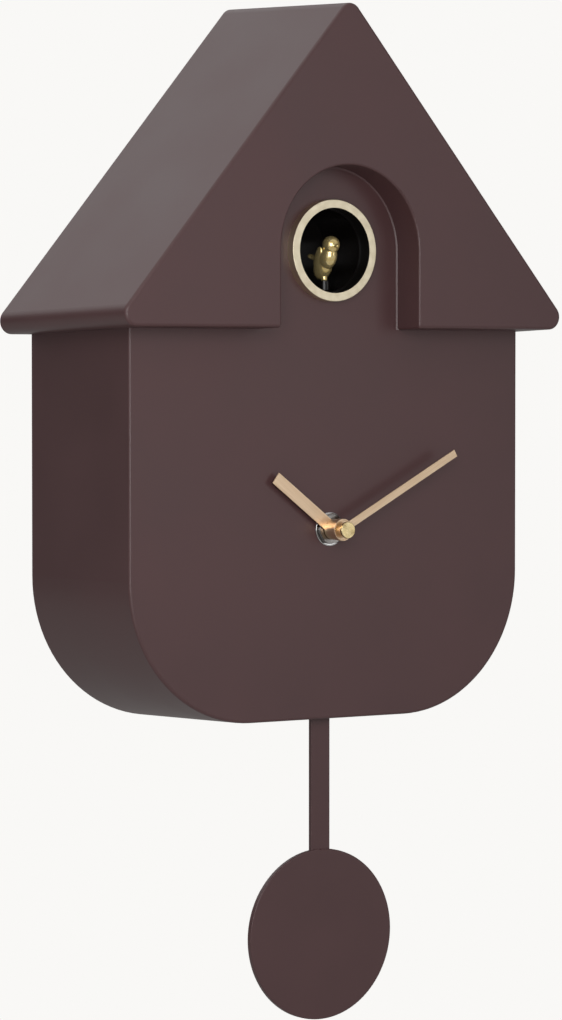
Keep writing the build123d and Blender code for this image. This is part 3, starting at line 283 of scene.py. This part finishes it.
@dataclass(frozen=True)
class TurnedMetal(Finish):
    """Metal faced on a lathe: fine rings about its axis, which runs along Y."""

    centre: Vector = field(default_factory=lambda: Vector((0.0, 0.0, 0.0)))
    pitch: float = 0.3
    depth: float = 0.2
    groove: float = 0.02
    cloud: float = 3.0
    stretch: float = 0.0

    def detail(self, tree: NodeTree, shader: bpy.types.Node) -> None:
        """Tool rings in relief, and a little cloudiness from handling.

        Args:
            tree: The material's node tree.
            shader: The principled shader.
        """
        cloud = noise(tree, place(tree, self.centre, 0.0, even(self.cloud)), 3.0)
        self.tint(tree, shader, cloud)
        if self.stretch:
            shader.inputs["Anisotropic"].default_value = self.stretch
            around = add_node(tree, "ShaderNodeTangent", {"direction_type": "RADIAL", "axis": "Y"})
            tree.links.new(around.outputs["Tangent"], shader.inputs["Tangent"])
        rings = add_node(tree, "ShaderNodeTexWave",
                         {"wave_type": "RINGS", "rings_direction": "Y", "wave_profile": "SIN"},
                         {"Scale": 1.0, "Distortion": 0.6, "Detail": 2.0},
                         {"Vector": place(tree, self.centre, 0.0, even(self.pitch * WAVE_REPEATS))})
        self.relief(tree, shader, rings.outputs["Fac"], self.depth, self.groove)


@dataclass(frozen=True)
class ShadedBoreRing(TurnedMetal):
    """A turned ring whose bore is coloured gloss black as painted shade, standing in for the dark tunnel
    that the bore reflects.
    """

    # Painted shade: this near-black stands in for the dark tunnel that the bore reflects
    bore: str = "#0D0A09"
    lip: float = 0.35
    face: float = 2.6

    def detail(self, tree: NodeTree, shader: bpy.types.Node) -> None:
        """Bare metal at the front face and the rim; painted shade inside the bore: gloss black and not
        metallic.

        Args:
            tree: The material's node tree.
            shader: The principled shader.
        """
        super().detail(tree, shader)
        low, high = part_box("ring_bezel")
        where = add_node(tree, "ShaderNodeTexCoord")
        from_axis = add_node(tree, "ShaderNodeVectorMath", {"operation": "MULTIPLY_ADD"},
                             {1: (1.0, 0.0, 1.0), 2: (-self.centre.x, 0.0, -self.centre.z)},
                             {0: where.outputs["Object"]})
        radius = add_node(tree, "ShaderNodeVectorMath", {"operation": "LENGTH"}, None,
                          {0: from_axis.outputs["Vector"]})
        axes = add_node(tree, "ShaderNodeSeparateXYZ", None, None, {0: where.outputs["Object"]})
        behind = add_node(tree, "ShaderNodeMath", {"operation": "GREATER_THAN"},
                          {1: low.y + self.lip * MM}, {0: axes.outputs["Y"]})
        inside = add_node(tree, "ShaderNodeMath", {"operation": "LESS_THAN"},
                          {1: (high.x - low.x) / 2 - self.face * MM}, {0: radius.outputs["Value"]})
        # Painted shade mask: inside the bore and behind the front lip, where the ring goes black and loses
        # its metal
        bore_shade = add_node(tree, "ShaderNodeMath", {"operation": "MULTIPLY"}, None,
                           {0: behind.outputs["Value"], 1: inside.outputs["Value"]})
        metal = shader.inputs["Base Color"].links[0].from_socket
        colour = add_node(tree, "ShaderNodeMix", {"data_type": "RGBA"}, {7: linear(self.bore)},
                          {0: bore_shade.outputs["Value"], 6: metal})
        tree.links.new(colour.outputs[2], shader.inputs["Base Color"])
        unshaded = add_node(tree, "ShaderNodeMath", {"operation": "SUBTRACT"}, {0: 1.0},
                        {1: bore_shade.outputs["Value"]})
        tree.links.new(unshaded.outputs["Value"], shader.inputs["Metallic"])


@dataclass(frozen=True)
class BrushedMetal(Finish):
    """Thin sheet drawn over an abrasive belt: hairlines along one direction in the XZ plane."""

    centre: Vector = field(default_factory=lambda: Vector((0.0, 0.0, 0.0)))
    angle: float = 0.0
    line: float = 0.22
    length: float = 14.0
    depth: float = 0.35
    groove: float = 0.02

    def detail(self, tree: NodeTree, shader: bpy.types.Node) -> None:
        """Hairlines that tint, roughen and groove the sheet.

        Args:
            tree: The material's node tree.
            shader: The principled shader.
        """
        size = Vector((self.length, self.line, self.line)) * MM
        hairs = noise(tree, place(tree, self.centre, -math.radians(self.angle), size), 3.0, 0.65)
        self.tint(tree, shader, hairs)
        self.relief(tree, shader, hairs, self.depth, self.groove)


@dataclass(frozen=True)
class PlatedMetal(Finish):
    """Bright electroplate over a polished casting or pressing."""

    wave: float = 2.4
    depth: float = 0.12
    height: float = 0.05

    def detail(self, tree: NodeTree, shader: bpy.types.Node) -> None:
        """Slight orange-peel waves, which bend the reflections.

        Args:
            tree: The material's node tree.
            shader: The principled shader.
        """
        waves = noise(tree, place(tree, ORIGIN, 0.0, even(self.wave)), 2.0)
        self.tint(tree, shader, waves)
        self.relief(tree, shader, waves, self.depth, self.height)


@dataclass(frozen=True)
class WoundWire(Finish):
    """Varnished wire wound layer on layer, seen as fine ribs."""

    pitch: float = 0.35
    depth: float = 0.6
    height: float = 0.08

    def detail(self, tree: NodeTree, shader: bpy.types.Node) -> None:
        """Ribs of wire side by side.

        Args:
            tree: The material's node tree.
            shader: The principled shader.
        """
        ribs = add_node(tree, "ShaderNodeTexWave", {"wave_type": "BANDS", "bands_direction": "DIAGONAL"},
                        {"Scale": 1.0, "Distortion": 0.3},
                        {"Vector": place(tree, ORIGIN, 0.0, even(self.pitch * WAVE_REPEATS))})
        self.tint(tree, shader, ribs.outputs["Fac"])
        self.relief(tree, shader, ribs.outputs["Fac"], self.depth, self.height)


@dataclass(frozen=True)
class Laminate(Finish):
    """Glass-cloth board under solder mask, with copper tracks that show through as paler bands."""

    track: float = 2.2
    depth: float = 0.2
    height: float = 0.05

    def detail(self, tree: NodeTree, shader: bpy.types.Node) -> None:
        """Square-cornered patches of track under the mask.

        Args:
            tree: The material's node tree.
            shader: The principled shader.
        """
        cells = add_node(tree, "ShaderNodeTexVoronoi",
                         {"distance": "MANHATTAN", "feature": "DISTANCE_TO_EDGE"}, {"Scale": 1.0},
                         {"Vector": place(tree, ORIGIN, 0.0, even(self.track))})
        self.tint(tree, shader, cells.outputs["Distance"])
        self.relief(tree, shader, cells.outputs["Distance"], self.depth, self.height)


@dataclass(frozen=True)
class ClearResin(Finish):
    """Clear moulded acrylic over a small sensor."""

    clearness: float = 0.9
    flow: tuple[float, float, float] = (2.0, 2.0, 6.0)

    def detail(self, tree: NodeTree, shader: bpy.types.Node) -> None:
        """Let light through, with faint flow lines.

        Args:
            tree: The material's node tree.
            shader: The principled shader.
        """
        shader.inputs["Transmission Weight"].default_value = self.clearness
        lines = noise(tree, place(tree, ORIGIN, 0.0, Vector(self.flow) * MM), 1.0)
        self.tint(tree, shader, lines)


def middle(node: str) -> Vector:
    """Give the middle of a CAD node's box.

    Args:
        node: The node's name.

    Returns:
        The point in metres.
    """
    low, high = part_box(node)
    return (low + high) / 2


DIAL_AXIS = middle("dial_washer")
RING_AXIS = middle("ring_bezel")


def hand_angle(node: str) -> float:
    """Work out which way a hand points, from its box and the dial's axis.

    Args:
        node: The hand's node.

    Returns:
        Degrees anticlockwise from +X.
    """
    low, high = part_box(node)
    right, left = high.x - DIAL_AXIS.x, DIAL_AXIS.x - low.x
    reach = right if right > left else -left
    return math.degrees(math.atan2(high.z - DIAL_AXIS.z, reach))


class Finishes(Enum):
    """Every finish on the clock."""

    # ABS, moulded in a fine-eroded tool: dark aubergine brown that greys where it catches the light
    CASE_ABS = MouldedPlastic("satin_aubergine_abs", "#4B3132", "#503536", 0.42, 0.03, ior=1.54)
    # The same ABS in plain black, from a rougher tool
    BACK_ABS = MouldedPlastic("textured_black_abs", "#1B1918", "#211F1E", 0.55, 0.05, ior=1.54, grain=0.8,
                              grain_depth=0.5)
    # Polished-tool ABS: deep gloss black
    TUNNEL_ABS = MouldedPlastic("gloss_black_abs", "#0A0807", "#0F0B0A", 0.2, 0.04, ior=1.4, grain=3.0,
                                grain_depth=0.05)
    # Anodised aluminium, faced on a lathe: a pale champagne with hardly any sparkle; its bore is coloured
    # gloss black as painted shade
    RING = ShadedBoreRing("champagne_anodised_aluminium", "#F0E4C9", "#E9DCBE", 0.36, 0.04, metallic=1.0,
                     centre=RING_AXIS, pitch=0.9, depth=0.12)
    # Aluminium sheet, brushed and anodised a pale copper gold
    HOUR_HAND = BrushedMetal("brushed_copper_gold_hour", "#F8DCBC", "#EBCCA9", 0.4, 0.06, metallic=1.0,
                             centre=DIAL_AXIS, angle=hand_angle("hour_hand"))
    MINUTE_HAND = BrushedMetal("brushed_copper_gold_minute", "#F8DCBC", "#EBCCA9", 0.4, 0.06, metallic=1.0,
                               centre=DIAL_AXIS, angle=hand_angle("minute_hand"))
    # Free-cutting brass, turned and lacquered
    BRASS = TurnedMetal("turned_brass", "#E6D3A4", "#D8C08A", 0.24, 0.06, metallic=1.0, centre=DIAL_AXIS,
                        pitch=0.55, depth=0.25, stretch=0.75)
    # Nickel-chrome plate on steel pressings
    CHROME = PlatedMetal("bright_chrome_plate", "#D2D1D0", "#C4C3C3", 0.1, 0.03, metallic=1.0)
    # Dull nickel plate on the turned nut
    NICKEL = PlatedMetal("dull_nickel_plate", "#8E8B88", "#7F7C79", 0.22, 0.04, metallic=1.0)
    # Gold-tone metal laid on a moulded figure in vacuum, under a tinted lacquer that dulls the mirror
    GOLD = PlatedMetal("vacuum_gold_plate", "#F4E0A6", "#E8CC84", 0.18, 0.03, metallic=0.78, wave=1.1)
    # Zinc-plated steel: a faint bluish mottle
    ZINC = PlatedMetal("zinc_plated_steel", "#B9BCC2", "#A3A7AE", 0.32, 0.08, metallic=1.0, wave=1.6,
                       depth=0.3)
    # Natural acetal gears: waxy off-white
    ACETAL = MouldedPlastic("natural_acetal", "#DAD7CC", "#D2CEC1", 0.4, 0.05, ior=1.48, grain=1.6)
    # Glass-filled grey ABS of inner brackets
    GREY_ABS = MouldedPlastic("grey_abs", "#5C5D5F", "#646567", 0.5, 0.05, ior=1.54, grain=0.9,
                              grain_depth=0.4)
    # Moulded nitrile rubber: matt, nearly black
    RUBBER = MouldedPlastic("nitrile_rubber", "#151515", "#1D1D1C", 0.75, 0.05, ior=1.52, grain=0.7)
    # Enamelled copper wire
    COPPER = WoundWire("enamelled_copper_wire", "#B8683A", "#7E4020", 0.3, 0.08, metallic=1.0)
    # Glass-cloth laminate under green solder mask
    BOARD = Laminate("green_masked_laminate", "#0F5A34", "#0A4226", 0.35, 0.05, ior=1.55)
    # Printed film round a dry cell, here plain
    CELL = PlatedMetal("dark_cell_film", "#26272B", "#2F3136", 0.3, 0.05, ior=1.5)
    # Ferrite, pressed and sintered: matt grey-black
    FERRITE = MouldedPlastic("sintered_ferrite", "#2B2B2D", "#353537", 0.6, 0.06, ior=2.2, grain=0.5)
    # Pressed paper pulp of the cone
    PULP = MouldedPlastic("pressed_paper_pulp", "#1F1E1C", "#2A2826", 0.9, 0.04, ior=1.45, grain=0.9,
                          grain_depth=0.8)
    # Acrylic, moulded clear
    LENS = ClearResin("clear_acrylic", "#DDE6EA", "#D2DEE4", 0.06, 0.03, ior=1.49)


class Wardrobe:
    """Holds each finish's material once, and dresses pieces in it."""

    def __init__(self) -> None:
        """Start with no materials."""
        self.made: dict[Finishes, bpy.types.Material] = {}

    def get(self, finish: Finishes) -> bpy.types.Material:
        """Give a finish's material, making it on first use.

        Args:
            finish: Which finish.

        Returns:
            The material.
        """
        if finish not in self.made:
            self.made[finish] = finish.value.make()
        return self.made[finish]

    def dress(self, piece: bpy.types.Object, finish: Finishes) -> None:
        """Put a finish on a piece.

        Args:
            piece: The mesh object.
            finish: Which finish.
        """
        piece.data.materials.clear()
        piece.data.materials.append(self.get(finish))


# ---------------------------------------------------------------- mesh helpers


def finish_mesh(shape: bmesh.types.BMesh, name: str) -> bpy.types.Object:
    """Turn a finished bmesh into a smooth-shaded object at the origin.

    Args:
        shape: The bmesh, which is freed.
        name: The new object's name.

    Returns:
        The object, linked to the scene.
    """
    bmesh.ops.remove_doubles(shape, verts=shape.verts, dist=MERGE_DISTANCE)
    bmesh.ops.recalc_face_normals(shape, faces=shape.faces)
    mesh = bpy.data.meshes.new(name)
    shape.to_mesh(mesh)
    shape.free()
    mesh.shade_smooth()
    piece = bpy.data.objects.new(name, mesh)
    bpy.context.scene.collection.objects.link(piece)
    return piece


def apply_modifiers(piece: bpy.types.Object) -> None:
    """Replace a piece's mesh by what its modifiers make of it.

    Args:
        piece: The object.
    """
    graph = bpy.context.evaluated_depsgraph_get()
    made = bpy.data.meshes.new_from_object(piece.evaluated_get(graph))
    piece.modifiers.clear()
    piece.data = made
    made.shade_smooth()


# ---------------------------------------------------------------- sub-assemblies


@dataclass(frozen=True)
class Lump:
    """One egg-shaped lump of a figure: centre and half sizes in millimetres, turns in degrees."""

    at: Vector
    size: Vector
    pitch: float = 0.0
    roll: float = 0.0

    def mirrored(self) -> "Lump":
        """Give the same lump on the figure's other side.

        Returns:
            The lump with X turned round.
        """
        return Lump(Vector((-self.at.x, self.at.y, self.at.z)), self.size, self.pitch, -self.roll)

    def add(self, shape: bmesh.types.BMesh, origin: Vector) -> None:
        """Add the lump to a mesh.

        Args:
            shape: The bmesh to add to.
            origin: What the centre counts from, in metres.
        """
        turn = (Matrix.Rotation(math.radians(self.pitch), 3, "X")
                @ Matrix.Rotation(math.radians(self.roll), 3, "Y"))
        stretch = Matrix.Diagonal((*(self.size * MM), 1.0))
        bmesh.ops.create_uvsphere(shape, u_segments=40, v_segments=24, radius=1.0,
                                  matrix=Matrix.Translation(origin + self.at * MM) @ turn.to_4x4() @ stretch)


BIRD_HEAD = Vector((0.0, -4.8, 14.2))


@dataclass
class BirdFigure:
    """The small gold bird, as lumps counted from the top centre of its black perch."""

    breast: Lump = Lump(Vector((0.0, -2.3, 9.4)), Vector((3.6, 4.2, 5.4)), 30.0)
    belly: Lump = Lump(Vector((0.0, 0.8, 5.6)), Vector((3.6, 3.9, 5.6)), 30.0)
    head: Lump = Lump(BIRD_HEAD, Vector((3.5, 3.5, 3.5)))
    beak: Lump = Lump(BIRD_HEAD + Vector((0.0, -3.3, -0.6)), Vector((0.95, 1.6, 0.8)))
    foot: Lump = Lump(Vector((0.0, 0.0, 0.9)), Vector((1.3, 1.3, 1.7)))
    tail: Lump = Lump(Vector((0.0, 4.0, 7.8)), Vector((1.5, 0.9, 6.0)), -62.0)
    tail_tip: Lump = Lump(Vector((0.0, 9.0, 9.8)), Vector((1.5, 1.1, 1.4)), -62.0)
    wing: Lump = Lump(Vector((2.9, 0.2, 8.6)), Vector((1.1, 2.2, 5.6)), 30.0, 6.0)
    eye: Lump = Lump(BIRD_HEAD + Vector((2.4, -1.8, 0.7)), Vector((0.5, 0.5, 0.5)))
    voxel: float = 0.14
    softening: int = 10

    def perch(self) -> Vector:
        """Give the perch's top centre in metres.

        Returns:
            The point that the lumps count from.
        """
        low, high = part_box("bird_arm")
        half_width = (high.x - low.x) / 2
        return Vector((0.0, low.y + half_width, high.z))

    def build(self, wardrobe: Wardrobe) -> None:
        """Model the bird as one fused figure and put it in place of its CAD solid.

        Args:
            wardrobe: The materials.
        """
        shape = bmesh.new()
        trunk = (self.breast, self.belly, self.head, self.beak, self.foot, self.tail, self.tail_tip)
        sides = (self.wing.mirrored(), self.eye.mirrored(), self.wing, self.eye)
        for lump in trunk + sides:
            lump.add(shape, self.perch())
        bird = finish_mesh(shape, "gold_bird")
        fuse = bird.modifiers.new("fuse", "REMESH")
        fuse.mode = "VOXEL"
        fuse.voxel_size = self.voxel * MM
        soften = bird.modifiers.new("soften", "SMOOTH")
        soften.iterations = self.softening
        apply_modifiers(bird)
        wardrobe.dress(bird, Finishes.GOLD)
        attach(bird, "bird_slider")
        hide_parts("bird")
        LOG.info("gold_bird, %d faces", len(bird.data.polygons))


@dataclass
class DomedWasher:
    """The pressed chrome washer under the nut: a shallow dish with a rolled rim.

    Bore and rim radius are in millimetres; the dish's rises and its foot count in rim radii.
    """

    bore: float = 3.8
    rim: float = 0.24
    inner_rise: float = 0.3
    outer_rise: float = 1.6
    foot: float = 1.95
    rolled: float = 0.8
    rim_steps: int = 10
    steps: int = 96

    def build(self, wardrobe: Wardrobe) -> None:
        """Spin the washer's section about the dial's axis and put it in place of its CAD solid.

        Args:
            wardrobe: The materials.
        """
        low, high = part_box("dial_washer")
        centre = DIAL_AXIS
        outer = (high.x - low.x) / 2
        inner = self.bore * MM
        rim = self.rim * MM
        back = high.y
        section = [(inner, back), (inner, back - self.inner_rise * rim),
                   (outer - self.foot * rim, back - self.outer_rise * rim)]
        arc = [math.pi * (self.rolled - self.rolled * step / self.rim_steps)
               for step in range(self.rim_steps + 1)]
        section += [(outer - rim + rim * math.cos(turn), back - rim - rim * math.sin(turn)) for turn in arc]
        section.append((outer, back))
        shape = bmesh.new()
        corners = [shape.verts.new((centre.x + radius, y, centre.z)) for radius, y in section]
        edges = [shape.edges.new(pair) for pair in zip(corners, corners[1:] + corners[:1])]
        bmesh.ops.spin(shape, geom=corners + edges, cent=centre, axis=(0, 1, 0), angle=math.tau,
                       steps=self.steps, use_merge=True)
        washer = finish_mesh(shape, "rolled_washer")
        wardrobe.dress(washer, Finishes.CHROME)
        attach(washer, "case")
        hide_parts("dial_washer")
        LOG.info("rolled_washer, %d faces", len(washer.data.polygons))


@dataclass
class Assembly:
    """A sub-assembly whose every field is a CAD node and the finish it wears."""

    def build(self, wardrobe: Wardrobe) -> None:
        """Dress every node in its finish.

        Args:
            wardrobe: The materials.
        """
        for part in fields(self):
            finish = getattr(self, part.name)
            wardrobe.dress(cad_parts[part.name], finish)
            LOG.info("%s in %s", part.name, finish.value.name)


@dataclass
class CaseAssembly(Assembly):
    """Roof, body, back and their fixings."""

    roof_shell: Finishes = Finishes.CASE_ABS
    body_shell: Finishes = Finishes.CASE_ABS
    back_plate: Finishes = Finishes.BACK_ABS
    battery_door: Finishes = Finishes.BACK_ABS
    hanger_plate: Finishes = Finishes.ZINC
    hanger_screws: Finishes = Finishes.ZINC
    case_screws: Finishes = Finishes.ZINC
    roof_screws: Finishes = Finishes.ZINC
    unit_screws: Finishes = Finishes.ZINC
    plate_screws: Finishes = Finishes.ZINC
    light_sensor: Finishes = Finishes.LENS


@dataclass
class CuckooDrive(Assembly):
    """Ring, tunnel and the slide that brings the bird out."""

    ring_bezel: Finishes = Finishes.RING
    bird_tunnel: Finishes = Finishes.TUNNEL_ABS
    bird_arm: Finishes = Finishes.TUNNEL_ABS
    bird_carriage: Finishes = Finishes.ACETAL
    slide_base: Finishes = Finishes.GREY_ABS
    bird_pinion: Finishes = Finishes.ACETAL
    reduction_gear: Finishes = Finishes.ACETAL
    drive_shaft: Finishes = Finishes.ZINC
    bird_motor: Finishes = Finishes.ZINC
    motor_pinion: Finishes = Finishes.BRASS


@dataclass
class Movement(Assembly):
    """The quartz movement, its bush and the hands."""

    movement_case: Finishes = Finishes.BACK_ABS
    movement_cover: Finishes = Finishes.BACK_ABS
    stepper_motor: Finishes = Finishes.COPPER
    threaded_bush: Finishes = Finishes.BRASS
    rubber_washer: Finishes = Finishes.RUBBER
    bush_nut: Finishes = Finishes.NICKEL
    hour_wheel: Finishes = Finishes.BRASS
    hour_hand: Finishes = Finishes.HOUR_HAND
    minute_arbor: Finishes = Finishes.BRASS
    minute_hand: Finishes = Finishes.MINUTE_HAND
    hand_cap: Finishes = Finishes.BRASS
    motion_wheel: Finishes = Finishes.ACETAL
    time_set_knob: Finishes = Finishes.GREY_ABS


@dataclass
class PendulumSet(Assembly):
    """The pendulum and the unit that swings it."""

    pendulum_case: Finishes = Finishes.GREY_ABS
    drive_coil: Finishes = Finishes.COPPER
    pendulum_pin: Finishes = Finishes.ZINC
    pendulum_lever: Finishes = Finishes.GREY_ABS
    pendulum_magnet: Finishes = Finishes.CHROME
    pendulum_rod: Finishes = Finishes.CASE_ABS
    bob: Finishes = Finishes.CASE_ABS
    bob_clip: Finishes = Finishes.GREY_ABS


@dataclass
class Electrics(Assembly):
    """Cells, loudspeaker, circuit board and controls."""

    battery_box: Finishes = Finishes.BACK_ABS
    battery_cells: Finishes = Finishes.CELL
    battery_springs: Finishes = Finishes.ZINC
    battery_contacts: Finishes = Finishes.ZINC
    speaker_frame: Finishes = Finishes.ZINC
    speaker_cone: Finishes = Finishes.PULP
    speaker_magnet: Finishes = Finishes.FERRITE
    circuit_board: Finishes = Finishes.BOARD
    board_chips: Finishes = Finishes.BACK_ABS
    board_capacitors: Finishes = Finishes.CELL
    control_bases: Finishes = Finishes.GREY_ABS
    volume_knob: Finishes = Finishes.GREY_ABS
    mode_switch: Finishes = Finishes.GREY_ABS
    test_button: Finishes = Finishes.GREY_ABS


# ---------------------------------------------------------------- studio


@dataclass
class Softbox:
    """A rectangular soft light.

    Positions and sizes are in metres, power in watts.
    """

    name: str
    at: Vector
    aim: Vector
    width: float
    height: float
    power: float
    colour: str = "#FFFFFF"

    def build(self) -> None:
        """Hang the light."""
        data = bpy.data.lights.new(self.name, "AREA")
        data.shape = "RECTANGLE"
        data.size = self.width
        data.size_y = self.height
        data.energy = self.power
        data.color = linear(self.colour)[:3]
        light = bpy.data.objects.new(self.name, data)
        light.location = self.at
        light.rotation_euler = (self.aim - self.at).to_track_quat("-Z", "Y").to_euler()
        bpy.context.scene.collection.objects.link(light)


@dataclass
class Studio:
    """Pale floor and backdrop, soft lights and the camera."""

    aim: Vector = field(default_factory=lambda: Vector((-2.73, -40.0, -151.24)) * MM)
    yaw: float = 34.51
    pitch: float = 2.134
    distance: float = 1.5813
    lens: float = 138.2
    sensor: float = 36.0
    rise: float = 0.0078
    paper: str = "#F9F8F6"
    floor_size: float = 4.0
    floor_drop: float = 0.62
    floor_glow: float = 0.42
    far: float = 20.0
    # Brightness of the room by height, from straight down at 0 to straight up at 1
    dome: tuple[tuple[float, float], ...] = (
        (0.0, 0.45), (0.36, 0.40), (0.47, 0.14), (0.58, 0.14), (0.75, 0.45), (1.0, 0.5))
    lights: list[Softbox] = field(default_factory=list)

    def camera(self) -> None:
        """Set the camera at the view's angle."""
        data = bpy.data.cameras.new("view")
        data.lens = self.lens
        data.sensor_fit = "VERTICAL"
        data.sensor_height = self.sensor
        data.shift_y = self.rise
        data.clip_end = self.far
        camera = bpy.data.objects.new("view", data)
        yaw, pitch = math.radians(self.yaw), math.radians(self.pitch)
        look = Vector((math.sin(yaw) * math.cos(pitch), math.cos(yaw) * math.cos(pitch), -math.sin(pitch)))
        camera.location = self.aim - look * self.distance
        camera.rotation_euler = look.to_track_quat("-Z", "Y").to_euler()
        bpy.context.scene.collection.objects.link(camera)
        bpy.context.scene.camera = camera

    def backdrop(self) -> None:
        """Lay a pale sheet below the clock, out of the camera's sight, to lift the light from under it."""
        shape = bmesh.new()
        bmesh.ops.create_grid(shape, x_segments=1, y_segments=1, size=self.floor_size,
                              matrix=Matrix.Translation((0.0, 0.0, CAD_BOX[0][2] - self.floor_drop)))
        sheet = finish_mesh(shape, "paper_floor")
        sheet.visible_camera = False
        material = bpy.data.materials.new("matt_backdrop_paper")
        material.use_nodes = True
        tree = material.node_tree
        tree.nodes.clear()
        glow = add_node(tree, "ShaderNodeEmission", None,
                        {"Color": linear(self.paper), "Strength": self.floor_glow})
        add_node(tree, "ShaderNodeOutputMaterial", None, None, {"Surface": glow.outputs["Emission"]})
        sheet.data.materials.append(material)

    def surround(self) -> None:
        """Hang plain paper behind everything, and light the room by height: dim at eye level."""
        world = bpy.data.worlds.new("studio")
        world.use_nodes = True
        tree = world.node_tree
        tree.nodes.clear()
        direction = add_node(tree, "ShaderNodeTexCoord")
        axes = add_node(tree, "ShaderNodeSeparateXYZ", None, None, {0: direction.outputs["Generated"]})
        height = add_node(tree, "ShaderNodeMapRange", {"clamp": True}, {"From Min": -1.0, "From Max": 1.0},
                          {"Value": axes.outputs["Z"]})
        dome = add_node(tree, "ShaderNodeValToRGB", None, None, {"Fac": height.outputs["Result"]})
        stops = dome.color_ramp.elements
        for stop, (position, level) in zip(stops, (self.dome[0], self.dome[-1])):
            stop.position, stop.color = position, (level, level, level, 1.0)
        for position, level in self.dome[1:-1]:
            stops.new(position).color = (level, level, level, 1.0)
        room = add_node(tree, "ShaderNodeBackground", None, None, {"Color": dome.outputs["Color"]})
        paper = add_node(tree, "ShaderNodeBackground", None, {"Color": linear(self.paper)})
        ray = add_node(tree, "ShaderNodeLightPath")
        seen = add_node(tree, "ShaderNodeMixShader", None, None, {
            0: ray.outputs["Is Camera Ray"], 1: room.outputs["Background"], 2: paper.outputs["Background"]})
        add_node(tree, "ShaderNodeOutputWorld", None, None, {"Surface": seen.outputs["Shader"]})
        bpy.context.scene.world = world

    def build(self) -> None:
        """Set up everything round the clock."""
        bpy.context.scene.view_settings.view_transform = "Standard"
        self.camera()
        self.backdrop()
        self.surround()
        for light in self.lights:
            light.build()


def main() -> None:
    """Dress every part of the clock and set the studio round it."""
    logging.basicConfig(level=logging.INFO, format="%(name)s: %(message)s")
    wardrobe = Wardrobe()
    for part in (CaseAssembly(), CuckooDrive(), Movement(), PendulumSet(), Electrics(), BirdFigure(),
                 DomedWasher()):
        part.build(wardrobe)
    heart = middle("body_shell")
    Studio(lights=[
        Softbox("behind_above", heart + Vector((-0.3, 1.8, 1.3)), heart, 2.4, 1.2, 5.8),
        Softbox("overhead", heart + Vector((-0.15, 0.2, 1.5)), heart, 1.0, 1.0, 5.0),
        Softbox("front_left", heart + Vector((-0.38, -0.62, 0.1)), heart, 0.45, 0.45, 2.7),
        Softbox("front_right", heart + Vector((0.98, -1.84, 0.17)), heart, 0.8, 0.9, 2.75),
        Softbox("left_strip", heart + Vector((-1.6, -0.6, 0.2)), heart, 0.4, 1.2, 1.5),
    ]).build()


if __name__ == "__main__":
    main()
